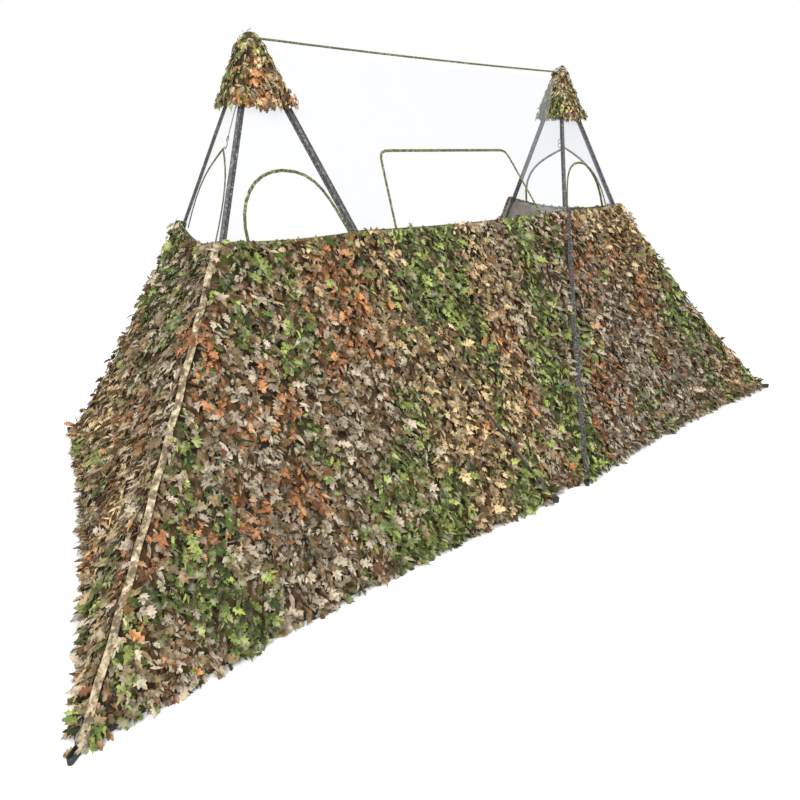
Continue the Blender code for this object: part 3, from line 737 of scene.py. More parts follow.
def leaf_colours(places, colours, rng, seed, boost=None):
    """A colour for each leaf: dry tans and bark, with patches of green and of rust."""
    p = np.array(places) * np.array((1.0, 1.0, STREAK))
    n = len(p)
    broad = value_noise(p, 4.6, seed) * 0.55 + value_noise(p, 13.0, seed + 1) * 0.45
    rusty = value_noise(p + 5.3, 4.4, seed + 2) * 0.5 + value_noise(p, 14.0, seed + 3) * 0.5
    grey = value_noise(p + 11.7, 2.2, seed + 4)
    jitter = rng.random((n, 4))
    tone = jitter[:, 0]
    tan, bark = np.array(colours.tan), np.array(colours.bark)
    brown, green = np.array(colours.brown), np.array(colours.green)
    moss, rust = np.array(colours.moss), np.array(colours.rust)
    found = np.where((grey + jitter[:, 1] * 0.5 > 0.86)[:, None], bark, tan)
    found = np.where((tone < 0.27)[:, None], brown, found)
    is_green = broad + (jitter[:, 2] - 0.5) * 0.28 > (0.60 if boost is None else 0.60 - boost[0])
    leafy = np.where((jitter[:, 3] < 0.38)[:, None], moss, green)
    found = np.where(is_green[:, None], leafy, found)
    is_rust = (rusty + (jitter[:, 3] - 0.5) * 0.30 > (0.71 if boost is None else 0.71 - boost[1])) & ~is_green
    found = np.where(is_rust[:, None], rust, found)
    # Painted light and shade: each leaf is darkened or lightened at random, standing in for leaves in shadow and
    # in light.
    shade = 0.28 + 1.35 * jitter[:, 1] ** 1.6
    return np.clip(found * shade[:, None], 0, 0.9)


def rest_on_floor(obj):
    """Lays whatever hangs under the floor flat on it."""
    count = len(obj.data.vertices)
    places = np.empty(count * 3, np.float32)
    obj.data.vertices.foreach_get("co", places)
    heights = places.reshape(-1, 3)[:, 2]
    np.maximum(heights, LEAF_FLOOR, out=heights)
    obj.data.vertices.foreach_set("co", places)
    obj.data.update()


def grow_leaves(name, points, tree, shapes, material, length, colours, seed, boost=None, spread=0.35):
    """Runs the scatter tree on the gathered points, and returns the plain mesh."""
    rng = np.random.default_rng(seed)
    obj = new_piece(name, points.places, [], material, smooth=False)
    mesh = obj.data
    turn = mesh.attributes.new("leaf_turn", "FLOAT_VECTOR", "POINT")
    turn.data.foreach_set("vector", np.array(points.turns, np.float32).ravel())
    size = mesh.attributes.new("leaf_size", "FLOAT", "POINT")
    size.data.foreach_set("value", np.array(points.sizes, np.float32))
    tint = mesh.attributes.new("leaf_colour", "FLOAT_COLOR", "POINT")
    rgb = leaf_colours(points.places, colours, rng, 40, boost)
    rgba = np.concatenate([rgb, np.ones((len(rgb), 1))], axis=1)
    tint.data.foreach_set("color", rgba.astype(np.float32).ravel())
    modifier = obj.modifiers.new("leaves", "NODES")
    modifier.node_group = tree
    set_inputs(
        modifier,
        {
            "Leaf Shapes": shapes,
            "Leaf Length": length,
            "Size Spread": spread,
            "Seed": seed,
            "Material": material,
        },
    )
    apply_modifiers(obj)
    rest_on_floor(obj)
    for spare in ("leaf_turn", "leaf_size"):
        attribute = obj.data.attributes.get(spare)
        if attribute:
            obj.data.attributes.remove(attribute)
    if not obj.data.polygons:
        raise RuntimeError(f"{name} grew no leaves")
    return obj


# ---------------------------------------------------------------- cloth walls


def halves(bay):
    """(name, first and last share across, tripod that folds, leg, which seam) for a bay's pieces."""
    if bay.name == "middle":
        return [("", 0.0, 1.0, None, "middle", 0)]
    (tripod, first), (_, second) = bay.first, bay.second
    return [("_a", 0.0, 0.5, tripod, first, 0), ("_b", 0.5, 1.0, tripod, second, 1)]


def pleat(bay, across, down, settings):
    """How far the cloth stands out here: soft folds that run down the rows."""
    width = (bay.seam_at(1, down) - bay.seam_at(0, down)).dot(bay.hem_along)
    start = bay.seam_at(0, down).dot(bay.hem_along)
    along = start + across * width
    wave = math.cos(ROUND * along / settings.row_spacing)
    slow = math.sin(along * 9.1 + down * 4.0) * 0.6 + math.sin(along * 23.0 - down * 7.0) * 0.3
    fade = min(1, 6 * across, 6 * (1 - across)) * min(1, 0.25 + 6 * down)
    return (settings.pleat_depth * wave * 0.5 + 0.006 * slow) * fade


def skirt_sheet(bay, half, settings, materials):
    """The base cloth of half a skirt, pleated down its rows, printed outside and plain inside."""
    suffix, low, high, *_ = half
    columns = 90 if bay.name == "middle" else 80
    rows = 36
    thickness = 0.0012
    vertices = []
    for side in (0, 1):
        for j in range(rows + 1):
            down = j / rows
            for i in range(columns + 1):
                across = low + (high - low) * i / columns
                _, _, out = bay.axes(across, down)
                lift = pleat(bay, across, down, settings) - side * thickness
                vertices.append(bay.point(across, down) + out * lift)
    layer = (rows + 1) * (columns + 1)
    outer, inner, rim = [], [], []
    for j in range(rows):
        for i in range(columns):
            a = j * (columns + 1) + i
            quad = (a, a + columns + 1, a + columns + 2, a + 1)
            outer.append(quad)
            inner.append(tuple(layer + v for v in reversed(quad)))
    edge = [i for i in range(columns + 1)]
    edge += [j * (columns + 1) + columns for j in range(1, rows + 1)]
    edge += [rows * (columns + 1) + i for i in range(columns - 1, -1, -1)]
    edge += [j * (columns + 1) for j in range(rows - 1, 0, -1)]
    for a, b in zip(edge, edge[1:] + edge[:1]):
        rim.append((a, b, layer + b, layer + a))
    faces = outer + inner + rim
    first = bay.axes((low + high) / 2, 0.5)[2]
    centre = vertices[outer[0][0]]
    normal = (vertices[outer[0][1]] - centre).cross(vertices[outer[0][3]] - centre)
    if normal.dot(first) < 0:
        faces = [tuple(reversed(f)) for f in faces]
    obj = new_piece(f"{bay.name}_skirt_cloth{suffix}", vertices, faces, materials["ground"])
    obj.data.materials.append(materials["lining"])
    for k, polygon in enumerate(obj.data.polygons):
        polygon.material_index = 1 if len(outer) <= k < 2 * len(outer) else 0
    width = (bay.seam_at(1, 1) - bay.seam_at(0, 1)).length * (high - low)
    width = max(width, (bay.seam_at(1, 0) - bay.seam_at(0, 0)).length * (high - low))
    drop = (bay.seam_at(0, 1) - bay.seam_at(0, 0)).length
    other = (bay.seam_at(1, 1) - bay.seam_at(1, 0)).length
    return obj, width, max(drop, other)


def row_leaves(bay, half, settings, seed):
    """Leaf places down the sewn rows of half a skirt."""
    rng = np.random.default_rng(seed)
    _, low, high, _, _, _ = half
    points = LeafPoints()
    starts = [bay.seam_at(0, d).dot(bay.hem_along) for d in (0, 0.5, 1)]
    ends = [bay.seam_at(1, d).dot(bay.hem_along) for d in (0, 0.5, 1)]
    first = math.floor(min(starts) / settings.row_spacing)
    last = math.ceil(max(ends) / settings.row_spacing)
    drop = (bay.point(0.5, 1) - bay.point(0.5, 0)).length
    steps = int(drop / settings.leaf_pitch)
    for row in range(first, last + 1):
        base = (row + 0.5) * settings.row_spacing
        wander = rng.random() * ROUND
        for step in range(steps + 1):
            down = step / steps
            start = bay.seam_at(0, down).dot(bay.hem_along)
            width = bay.seam_at(1, down).dot(bay.hem_along) - start
            for strand in (-0.34, -0.18, 0.0, 0.17, 0.33):
                shift = strand * settings.row_spacing + rng.normal(0, 0.005)
                shift += 0.006 * math.sin(down * 11 + wander)
                across = (base + shift - start) / width
                gaps = rng.random(5)
                if not low <= across < high or gaps[0] < 0.10:
                    continue
                here = min(1.0, max(0.0, down + (gaps[1] - 0.5) / steps))
                along, fall, out = bay.axes(across, here)
                ridge = 0.014 * max(0.0, 1 - abs(strand) * 2.6)
                lift_up = 0.002 + 0.009 * gaps[2] + ridge + pleat(bay, across, here, settings)
                place = bay.point(across, here) + out * lift_up
                size = 0.62 + 0.75 * gaps[3] ** 2
                points.add(
                    place,
                    along,
                    fall,
                    out,
                    rng.normal(0, 0.75),
                    math.radians(8 + 50 * gaps[4] ** 1.5),
                    rng.normal(0, 0.40),
                    size,
                )
    return points


def seam_leaves(bay, which, low, high, seed, count):
    """A few extra leaves along a rail or hem, so that its edge looks ragged."""
    rng = np.random.default_rng(seed)
    points = LeafPoints()
    for _ in range(count):
        share, tilt, size, lift = rng.random(4)
        across = low + (high - low) * share
        down = {"rail": 0.0, "hem": 0.985}[which]
        along, fall, out = bay.axes(across, down)
        spin = rng.normal(0, 1.2)
        place = bay.point(across, down) + out * (0.004 + 0.010 * lift)
        if which == "hem":
            place += UP * (0.010 + 0.018 * tilt)
            steep = math.radians(50 + 35 * tilt)
            points.add(place, along, fall, out, spin * 0.5, steep, rng.normal(0, 0.4), 0.6 + 0.5 * size)
        else:
            place -= UP * (0.012 * tilt)
            steep = math.radians(5 + 30 * tilt)
            points.add(place, along, fall, out, spin, steep, rng.normal(0, 0.3), 0.35 + 0.35 * size)
    return points


# ---------------------------------------------------------------- bindings


TAPE_SECTION = ((-1, 0.35), (-0.8, 1), (0.8, 1), (1, 0.35), (1, -0.35), (0.8, -1), (-0.8, -1), (-1, -0.35))


def ribbon(name, path, side_of, width, thickness, material):
    """A flat folded tape along a path. side_of gives the tape's flat direction at each point."""
    vertices, faces = [], []
    count, corners = len(path), len(TAPE_SECTION)
    for i, place in enumerate(path):
        ahead = (path[min(i + 1, count - 1)] - path[max(i - 1, 0)]).normalized()
        face_out = side_of(i)
        across = ahead.cross(face_out).normalized()
        out = across.cross(ahead).normalized()
        for x, y in TAPE_SECTION:
            vertices.append(place + across * (x * width / 2) + out * (y * thickness / 2))
    for i in range(count - 1):
        for k in range(corners):
            a, b = i * corners + k, i * corners + (k + 1) % corners
            faces.append((a, b, b + corners, a + corners))
    faces.append(tuple(reversed(range(corners))))
    faces.append(tuple((count - 1) * corners + k for k in range(corners)))
    obj = new_piece(name, vertices, faces, material)
    outward_faces(obj)
    obj.data.set_sharp_from_angle(angle=math.radians(50))
    return obj


def outward_faces(obj):
    bm = bmesh.new()
    bm.from_mesh(obj.data)
    bmesh.ops.recalc_face_normals(bm, faces=bm.faces)
    bm.to_mesh(obj.data)
    bm.free()


def joined(name, pieces):
    """Several pieces made one mesh. Each must use only the first one's materials."""
    vertices, faces, slots, offset = [], [], [], 0
    materials = []
    for piece in pieces:
        own = [m for m in piece.data.materials]
        for m in own:
            if m not in materials:
                materials.append(m)
        vertices += [v.co.copy() for v in piece.data.vertices]
        for polygon in piece.data.polygons:
            faces.append(tuple(offset + v for v in polygon.vertices))
            slots.append(materials.index(own[polygon.material_index]))
        offset = len(vertices)
    obj = new_piece(name, vertices, faces, materials[0])
    for extra in materials[1:]:
        obj.data.materials.append(extra)
    obj.data.polygons.foreach_set("material_index", slots)
    obj.data.set_sharp_from_angle(angle=math.radians(50))
    for piece in pieces:
        old = piece.data
        bpy.data.objects.remove(piece)
        bpy.data.meshes.remove(old)
    return obj


class Wall:
    """A mesh wall's plane and outline, read from its node in the frame."""

    def __init__(self, node, along):
        bm = bmesh.new()
        bm.from_mesh(frame["nodes"][node].data)
        bmesh.ops.remove_doubles(bm, verts=bm.verts, dist=0.00002)
        bmesh.ops.dissolve_limit(bm, angle_limit=0.01, verts=bm.verts, edges=bm.edges)
        bm.faces.ensure_lookup_table()
        largest = max(bm.faces, key=lambda face: face.calc_area())
        self.out = largest.normal.copy()
        if self.out.z < 0:
            self.out.negate()
        self.along = along
        self.up = self.out.cross(along).normalized()
        if self.up.z < 0:
            self.up.negate()
        depths = [vertex.co.dot(self.out) for vertex in bm.verts]
        centre = sum((vertex.co for vertex in bm.verts), Vector()) / len(bm.verts)
        self.origin = centre + self.out * ((min(depths) + max(depths)) / 2 - centre.dot(self.out))
        self.outline = [self.flat(vertex.co) for vertex in largest.verts]
        bm.free()

    def flat(self, p):
        d = p - self.origin
        return d.dot(self.along), d.dot(self.up)

    def place(self, s, t, lift=0.0):
        return self.origin + self.along * s + self.up * t + self.out * lift


# ---------------------------------------------------------------- operators


STATE = {}


def settings():
    return bpy.context.scene.blind_cloth, bpy.context.scene.blind_tape, bpy.context.scene.blind_colours


class BLIND_OT_finishes(bpy.types.Operator):
    """Makes the materials and gives them to the hard parts"""

    bl_idname = "blind.finishes"
    bl_label = "Finishes"

    def execute(self, context):
        cloth, _, colours = settings()
        STATE["materials"] = make_materials(colours)
        STATE["left"], STATE["right"], STATE["bays"] = make_bays(cloth.rail_height)
        slots = {s["node"]: s["material_slot"] for s in frame["record"]["subparts"]}
        for node, obj in frame["nodes"].items():
            kind = slots[node]
            if kind in STATE["materials"]:
                obj.data = obj.data.copy() if obj.data.users > 1 else obj.data
                for i in range(max(1, len(obj.material_slots))):
                    if obj.material_slots:
                        obj.material_slots[i].material = STATE["materials"][kind]
                    else:
                        obj.data.materials.append(STATE["materials"][kind])
        return {"FINISHED"}


class BLIND_OT_skirts(bpy.types.Operator):
    """Makes the skirts: pleated cloth with sewn rows of cut leaves"""

    bl_idname = "blind.skirts"
    bl_label = "Skirts"

    def execute(self, context):
        cloth, _, colours = settings()
        materials = STATE["materials"]
        tree = scatter_tree()
        shapes = leaf_collection()
        STATE["tree"], STATE["shapes"] = tree, shapes
        for number, bay in enumerate(STATE["bays"]):
            for half in halves(bay):
                suffix, low, high, tripod, leg, which = half
                seed = cloth.seed + 20 * number + 7 * which
                sheet, width, drop = skirt_sheet(bay, half, cloth, materials)
                points = row_leaves(bay, half, cloth, seed)
                leaves = grow_leaves(
                    f"{bay.name}_skirt_leaves{suffix}",
                    points,
                    tree,
                    shapes,
                    materials["leaf"],
                    cloth.leaf_length,
                    colours,
                    seed + 1,
                )
                hem_count = int(HEM_LEAVES_PER_METRE * width)
                hem = seam_leaves(bay, "hem", low, high, seed + 2, hem_count)
                hem_leaves = grow_leaves(
                    f"{bay.name}_hem_leaves{suffix}",
                    hem,
                    tree,
                    shapes,
                    materials["leaf"],
                    cloth.leaf_length,
                    colours,
                    seed + 3,
                )
                top_width = (bay.point(high, 0) - bay.point(low, 0)).length
                rail = seam_leaves(bay, "rail", low, high, seed + 4, int(RAIL_LEAVES_PER_METRE * top_width))
                rail_leaves = grow_leaves(
                    f"{bay.name}_rail_leaves{suffix}",
                    rail,
                    tree,
                    shapes,
                    materials["leaf"],
                    cloth.leaf_length,
                    colours,
                    seed + 5,
                )
                pieces = [sheet, leaves, hem_leaves, rail_leaves]
                body = "frame" if tripod is None else tripod.body(leg)
                for piece in pieces:
                    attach(piece, body)
                    if tripod is not None:
                        start = bay.seam_at(which, 0)
                        end = bay.seam_at(which, 1)
                        fold_away(piece, start, end, bay.hem_along)
                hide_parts(f"{bay.name}_skirt")
                area = mesh_area(sheet) / 2
                area = min(area, width * drop)
        return {"FINISHED"}


class BLIND_OT_caps(bpy.types.Operator):
    """Makes the leafy caps over the hubs"""

    bl_idname = "blind.caps"
    bl_label = "Caps"

    def execute(self, context):
        cloth, _, colours = settings()
        materials = STATE["materials"]
        for tripod in (STATE["left"], STATE["right"]):
            node = frame["nodes"][f"{tripod.name}_cap"]
            lowest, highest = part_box(f"{tripod.name}_cap")
            height = highest.z - lowest.z
            rng = np.random.default_rng(cloth.seed + len(tripod.name))
            bm = bmesh.new()
            bm.from_mesh(node.data)
            bmesh.ops.remove_doubles(bm, verts=bm.verts, dist=0.00001)
            bmesh.ops.recalc_face_normals(bm, faces=bm.faces)
            bmesh.ops.subdivide_edges(bm, edges=bm.edges, cuts=1, use_grid_fill=True)
            bm.faces.ensure_lookup_table()
            axis = tripod.hub
            for vertex in bm.verts:
                share = (vertex.co.z - lowest.z) / height
                away = (vertex.co - axis)
                away.z = 0
                wave = math.sin(vertex.co.x * 71) * math.cos(vertex.co.y * 63) * 0.002
                vertex.co += away.normalized() * wave * (1 - share * 0.6) if away.length > 1e-4 else Vector()
            mesh = bpy.data.meshes.new(f"{tripod.name}_cap_cloth")
            bm.to_mesh(mesh)
            mesh.materials.clear()
            mesh.materials.append(materials["ground"])
            mesh.shade_smooth()
            mesh.set_sharp_from_angle(angle=math.radians(55))
            shell = bpy.data.objects.new(f"{tripod.name}_cap_cloth", mesh)
            bpy.context.scene.collection.objects.link(shell)
            rise = UP * (tripod.apex_height - 0.16)
            outer = [f for f in bm.faces if f.normal.dot((f.calc_center_median() - axis - rise)) > 0]
            outer = [f for f in outer if f.normal.z > -0.3]
            areas = np.array([f.calc_area() for f in outer])
            corners = [[v.co.copy() for v in f.verts] for f in outer]
            normals = [f.normal.copy() for f in outer]
            bm.free()
            points = LeafPoints()
            picks = rng.choice(len(corners), CAP_LEAVES, p=areas / areas.sum())
            for pick in picks:
                share = rng.random(3)
                verts = corners[pick]
                weights = rng.dirichlet(np.ones(len(verts)))
                place = sum((v * float(w) for v, w in zip(verts, weights)), Vector())
                out = normals[pick]
                along = UP.cross(out)
                if along.length < 0.2:
                    along = Vector((1, 0, 0))
                along.normalize()
                fall = along.cross(out).normalized()
                if fall.z > 0:
                    fall.negate()
                place += out * (0.002 + 0.006 * share[0])
                points.add(
                    place,
                    along,
                    fall,
                    out,
                    rng.normal(0, 0.6),
                    math.radians(4 + 30 * share[1] ** 1.5),
                    rng.normal(0, 0.3),
                    0.55 + 0.5 * share[2],
                )
            rim = LeafPoints()
            for _ in range(CAP_FRINGE_LEAVES):
                share = rng.random(3)
                leg_a, leg_b = rng.choice(3, 2, replace=False)
                a = tripod.on_pole(LEGS[leg_a], lowest.z) + direction(tripod.azimuths[LEGS[leg_a]]) * 0.028
                b = tripod.on_pole(LEGS[leg_b], lowest.z) + direction(tripod.azimuths[LEGS[leg_b]]) * 0.028
                place = a.lerp(b, float(share[0]))
                out = (place - tripod.hub)
                out.z = 0
                out.normalize()
                place += out * 0.012 + UP * (0.006 + 0.03 * share[1])
                along = UP.cross(out).normalized()
                steep = math.radians(10 + 25 * share[2])
                rim.add(place, along, -UP, out, rng.normal(0, 0.5), steep, 0.0, 0.55 + 0.4 * share[2])
            boost = (0.19, 0.0)
            leaves = grow_leaves(
                f"{tripod.name}_cap_leaves",
                points,
                STATE["tree"],
                STATE["shapes"],
                materials["leaf"],
                cloth.cap_leaf_length,
                colours,
                cloth.seed + 3,
                boost,
            )
            fringe = grow_leaves(
                f"{tripod.name}_cap_fringe",
                rim,
                STATE["tree"],
                STATE["shapes"],
                materials["leaf"],
                cloth.cap_leaf_length,
                colours,
                cloth.seed + 4,
                (0.0, 0.15),
            )
            for piece in (shell, leaves, fringe):
                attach(piece, f"{tripod.name}_hub")
            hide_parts(f"{tripod.name}_cap")
        return {"FINISHED"}


def split_outline(outline, middle, left):
    """The part of a flat closed outline on one side of s = middle."""
    found = []
    count = len(outline)
    for i in range(count):
        a, b = outline[i], outline[(i + 1) % count]
        inside_a = (a[0] <= middle) == left
        inside_b = (b[0] <= middle) == left
        if inside_a:
            found.append(a)
        if inside_a != inside_b:
            share = (middle - a[0]) / (b[0] - a[0])
            found.append((middle, a[1] + (b[1] - a[1]) * share))
    return found


def net_sheet(name, wall, outline, material):
    """A thin flat sheet with this outline, triangulated, with its weave's own map."""
    flat = [Vector((s, t, 0)) for s, t in outline]
    triangles = tessellate_polygon([flat])
    vertices = [wall.place(s, t) for s, t in outline]
    faces = []
    for a, b, c in triangles:
        normal = (vertices[b] - vertices[a]).cross(vertices[c] - vertices[a])
        faces.append((a, b, c) if normal.dot(wall.out) > 0 else (a, c, b))
    obj = new_piece(name, vertices, faces, material, smooth=False)
    layer = obj.data.uv_layers.new(name="cloth")
    for loop in obj.data.loops:
        layer.data[loop.index].uv = outline[loop.vertex_index]
    return obj


def smallest_rectangle(outline):
    """The sides of the smallest rectangle, turned any way, that this outline can be cut from."""
    points = np.array([tuple(p) for p in outline])
    found = []
    for degrees in range(90):
        turn = math.radians(degrees)
        axes = np.array(((math.cos(turn), math.sin(turn)), (-math.sin(turn), math.cos(turn))))
        found.append(tuple(float(side) for side in np.ptp(points @ axes.T, axis=0)))
    return min(found, key=lambda sides: sides[0] * sides[1])


def resampled(path, step):
    """A path of (s, t) pairs with points no further apart than step."""
    found = [path[0]]
    for a, b in zip(path, path[1:]):
        count = max(1, math.ceil(math.dist(a, b) / step))
        for k in range(1, count + 1):
            found.append((a[0] + (b[0] - a[0]) * k / count, a[1] + (b[1] - a[1]) * k / count))
    return found


def outline_runs(wall, bay_name):
    """Splits a wall's outline into its window run and its other edges, by where they lie."""
    outline = wall.outline
    count = len(outline)
    low = min(t for _, t in outline)
    base = [i for i, (_, t) in enumerate(outline) if t < low + 0.004]
    spans = sorted(base, key=lambda i: outline[i][0])
    left_outer, left_foot, right_foot, right_outer = spans[0], spans[1], spans[-2], spans[-1]

    def walk(start, end):
        """The shorter list of points from one index to the other that stays off the other base points."""
        for step in (1, -1):
            found, i = [outline[start]], start
            while i != end:
                i = (i + step) % count
                found.append(outline[i])
                if i in base and i != end:
                    found = None
                    break
            if found:
                return found
        raise RuntimeError(f"{bay_name}: no run between two feet of the wall")

    window = walk(left_foot, right_foot)
    edge = walk(left_outer, right_outer)
    return window, edge


class BLIND_OT_netting(bpy.types.Operator):
    """Makes the see-through mesh walls with their bindings"""

    bl_idname = "blind.netting"
    bl_label = "Netting and bindings"

    def execute(self, context):
        cloth, tape, _ = settings()
        materials = STATE["materials"]
        for bay in STATE["bays"]:
            (first_tripod, first), (second_tripod, second) = bay.first, bay.second
            rail_first = first_tripod.on_pole(first, cloth.rail_height)
            rail_second = second_tripod.on_pole(second, cloth.rail_height)
            along = (rail_second - rail_first).normalized()
            wall = Wall(f"{bay.name}_mesh", along)
            window, edge = outline_runs(wall, bay.name)
            centre = wall.flat(rail_first.lerp(rail_second, 0.5))[0]
            if bay.name == "middle":
                parts = [("", wall.outline, None, "middle", 0)]
            else:
                parts = [
                    ("_a", split_outline(wall.outline, centre, True), first_tripod, first, 0),
                    ("_b", split_outline(wall.outline, centre, False), second_tripod, second, 1),
                ]
            for suffix, outline, tripod, leg, which in parts:
                sheet = net_sheet(f"{bay.name}_netting{suffix}", wall, outline, materials["mesh"])
                kept = []
                for label, run, width, material in (
                    ("window", window, tape.window_width, materials["window_tape"]),
                    ("edge", edge, tape.edge_width, materials["edge_tape"]),
                ):
                    path = resampled(run, TAPE_STEP)
                    if bay.name == "middle" and label == "edge":
                        for way in (run[:2], run[-2:]):
                            strip = [wall.place(*p) for p in resampled(way, TAPE_STEP)]
                            kept.append(
                                ribbon(
                                    f"{bay.name}_edge_tape",
                                    strip,
                                    lambda i: wall.out,
                                    width,
                                    tape.thickness,
                                    material,
                                )
                            )
                        continue
                    if tripod is not None:
                        own = [i for i, p in enumerate(path) if (p[0] <= centre) == (which == 0)]
                        path = path[max(0, min(own) - 1) : max(own) + 2]
                    places = [wall.place(s, t) for s, t in path]
                    kept.append(
                        ribbon(
                            f"{bay.name}_{label}_tape{suffix}",
                            places,
                            lambda i: wall.out,
                            width,
                            tape.thickness,
                            material,
                        )
                    )
                binding = joined(f"{bay.name}_mesh_binding{suffix}", kept)
                body = "frame" if tripod is None else tripod.body(leg)
                for piece in (sheet, binding):
                    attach(piece, body)
                    if tripod is not None:
                        start = tripod.on_pole(leg, tripod.pin_height)
                        end = tripod.on_pole(leg, cloth.rail_height)
                        fold_away(piece, start, end, along)
                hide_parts(f"{bay.name}_mesh")
                flat = smallest_rectangle(outline)
        return {"FINISHED"}


class BLIND_OT_seams(bpy.types.Operator):
    """Makes the folded tapes over the skirts' seams, rails and hems, and the ridge"""

    bl_idname = "blind.seams"
    bl_label = "Seams, rails and ridge"

    def execute(self, context):
        cloth, tape, _ = settings()
        materials = STATE["materials"]
        for tripod in (STATE["left"], STATE["right"]):
            for leg in LEGS:
                lift = MIDDLE_SEAM_LIFT if leg == "middle" else SEAM_LIFT
                over = tripod.outward(leg) * lift
                path = [tripod.seam(leg, k / 60, cloth.rail_height) + over for k in range(61)]
                sideways = direction(tripod.azimuths[leg] + math.pi / 2)
                wobble = [p + sideways * (0.002 * math.sin(i * 0.9)) for i, p in enumerate(path)]
                material = materials["edge_tape"] if leg == "middle" else materials["seam_tape"]
                seam = ribbon(
                    f"{tripod.name}_{leg}_seam_tape",
                    wobble,
                    lambda i, t=tripod, own=leg: t.outward(own),
                    tape.seam_width,
                    tape.thickness,
                    material,
                )
                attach(seam, tripod.body(leg))
        for bay in STATE["bays"]:
            for suffix, low, high, tripod, leg, which in halves(bay):
                kept = []
                edges = (("rail", 0.0, materials["window_tape"]), ("hem", 1.0, materials["webbing"]))
                for label, down, material in edges:
                    shares = [low + (high - low) * k / 40 for k in range(41)]
                    path = [bay.point(s, down) for s in shares]
                    kept.append(
                        ribbon(
                            f"{bay.name}_{label}_tape{suffix}",
                            path,
                            lambda i, b=bay, d=down, sh=shares: b.axes(sh[i], d)[2],
                            EDGING_WIDTH,
                            EDGING_THICKNESS,
                            material,
                        )
                    )
                edging = joined(f"{bay.name}_skirt_edging{suffix}", kept)
                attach(edging, "frame" if tripod is None else tripod.body(leg))
                if tripod is not None:
                    start, end = bay.seam_at(which, 0), bay.seam_at(which, 1)
                    fold_away(edging, start, end, bay.hem_along)
        left, right = STATE["left"], STATE["right"]
        count = 80
        start = left.apex() + Vector((0.010, 0, 0.004))
        end = right.apex() + Vector((-0.010, 0, 0.004))
        path = []
        for k in range(count + 1):
            share = k / count
            place = start.lerp(end, share) - UP * (RIDGE_SAG * 4 * share * (1 - share))
            path.append(place + Vector((0, 0.001 * math.sin(k * 0.8), 0)))
        facing = Vector((0, -0.35, 1)).normalized()
        olive = materials["window_tape"]
        ridge = ribbon("ridge_binding", path, lambda i: facing, RIDGE_WIDTH, RIDGE_THICKNESS, olive)
        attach(ridge, "frame")
        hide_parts("ridge_tape")
        return {"FINISHED"}


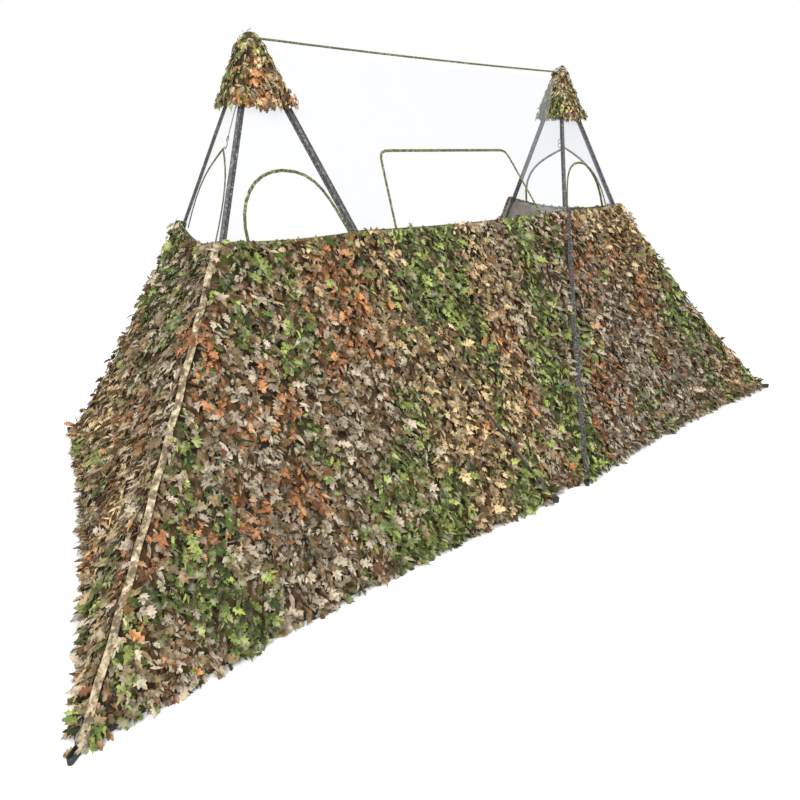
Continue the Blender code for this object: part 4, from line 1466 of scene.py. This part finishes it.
class BLIND_OT_stage(bpy.types.Operator):
    """Makes the floor, the lights and the camera"""

    bl_idname = "blind.stage"
    bl_label = "Stage"

    def execute(self, context):
        stage = context.scene.blind_stage
        made, maker, shader = shader_for("studio_floor")
        grain = noise(maker, object_place(maker), 3.0, 2.0)
        colour = mixed(maker, grain, (0.90, 0.90, 0.90), (0.93, 0.93, 0.93))
        maker.plug(shader.inputs["Base Color"], colour)
        shader.inputs["Roughness"].default_value = 0.9
        shader.inputs["Specular IOR Level"].default_value = 0.1
        far = object_place(maker)
        span = maker.node("ShaderNodeVectorMath", {"operation": "LENGTH"}, {"Vector": far})
        fade = maker.value(span.outputs["Value"]).above(4.2, 2.4)
        white = maker.node("ShaderNodeEmission", None, {"Color": (1.0, 1.0, 1.0, 1.0), "Strength": 1.0})
        sides = {0: fade, 1: shader.outputs["BSDF"], 2: white.outputs["Emission"]}
        both = maker.node("ShaderNodeMixShader", None, sides)
        out = next(n for n in made.node_tree.nodes if n.type == "OUTPUT_MATERIAL")
        maker.plug(out.inputs["Surface"], both.outputs["Shader"])
        reach = FLOOR_REACH
        corners = [(-reach, -reach, 0), (reach, -reach, 0), (reach, reach, 0), (-reach, reach, 0)]
        floor = new_piece("studio_floor", [Vector(c) for c in corners], [(0, 1, 2, 3)], made, smooth=False)
        world = bpy.data.worlds.new("studio")
        world.use_nodes = True
        back = world.node_tree.nodes["Background"]
        back.inputs["Color"].default_value = (1.0, 1.0, 1.0, 1)
        back.inputs["Strength"].default_value = 1.0
        context.scene.world = world
        self.light("key", (-4.5, -3.5, 5.0), (0, 0, 0.5), LAMP_SIZE, KEY_POWER)
        self.light("fill", (3.5, -5.0, 3.5), (0, 0, 0.6), LAMP_SIZE, FILL_POWER)
        camera = bpy.data.cameras.new("camera")
        camera.lens = stage.lens
        camera.sensor_width = 36.0
        camera.clip_end = 200.0
        eye = Vector(stage.eye)
        ahead = Vector(
            (
                math.sin(stage.yaw) * math.cos(stage.pitch),
                math.cos(stage.yaw) * math.cos(stage.pitch),
                -math.sin(stage.pitch),
            )
        )
        turn = ahead.to_track_quat("-Z", "Y").to_matrix() @ Matrix.Rotation(stage.roll, 3, "Z")
        obj = bpy.data.objects.new("camera", camera)
        obj.matrix_world = Matrix.Translation(eye) @ turn.to_4x4()
        context.scene.collection.objects.link(obj)
        context.scene.camera = obj
        context.scene.view_settings.view_transform = "Standard"
        return {"FINISHED"}

    def light(self, name, place, aim, size, power):
        lamp = bpy.data.lights.new(name, "AREA")
        lamp.shape = "DISK"
        lamp.size = size
        lamp.energy = power
        obj = bpy.data.objects.new(name, lamp)
        toward = Vector(aim) - Vector(place)
        turn = toward.to_track_quat("-Z", "Y").to_matrix().to_4x4()
        obj.matrix_world = Matrix.Translation(Vector(place)) @ turn
        bpy.context.scene.collection.objects.link(obj)


class BLIND_PT_panel(bpy.types.Panel):
    """Lists the steps that build the blind's looks"""

    bl_label = "Ground Blind"
    bl_idname = "BLIND_PT_panel"
    bl_space_type = "VIEW_3D"
    bl_region_type = "UI"
    bl_category = "Blind"

    def draw(self, context):
        for operator in OPERATORS:
            self.layout.operator(operator.bl_idname)
        for group in ("blind_cloth", "blind_tape", "blind_colours", "blind_stage"):
            values = getattr(context.scene, group)
            for key in values.bl_rna.properties.keys():
                if key not in ("rna_type", "name"):
                    self.layout.prop(values, key)


GROUPS = {
    "blind_cloth": ClothSettings,
    "blind_tape": BindingSettings,
    "blind_colours": ColourSettings,
    "blind_stage": StageSettings,
}
OPERATORS = (
    BLIND_OT_finishes,
    BLIND_OT_skirts,
    BLIND_OT_caps,
    BLIND_OT_netting,
    BLIND_OT_seams,
    BLIND_OT_stage,
)


def register():
    for group in GROUPS.values():
        bpy.utils.register_class(group)
    for name, group in GROUPS.items():
        setattr(bpy.types.Scene, name, PointerProperty(type=group))
    for operator in OPERATORS:
        bpy.utils.register_class(operator)
    bpy.utils.register_class(BLIND_PT_panel)


def unregister():
    bpy.utils.unregister_class(BLIND_PT_panel)
    for operator in reversed(OPERATORS):
        bpy.utils.unregister_class(operator)
    for name in GROUPS:
        delattr(bpy.types.Scene, name)
    for group in GROUPS.values():
        bpy.utils.unregister_class(group)


def main():
    register()
    bpy.ops.blind.finishes()
    bpy.ops.blind.skirts()
    bpy.ops.blind.caps()
    bpy.ops.blind.netting()
    bpy.ops.blind.seams()
    bpy.ops.blind.stage()


if __name__ == "__main__":
    main()
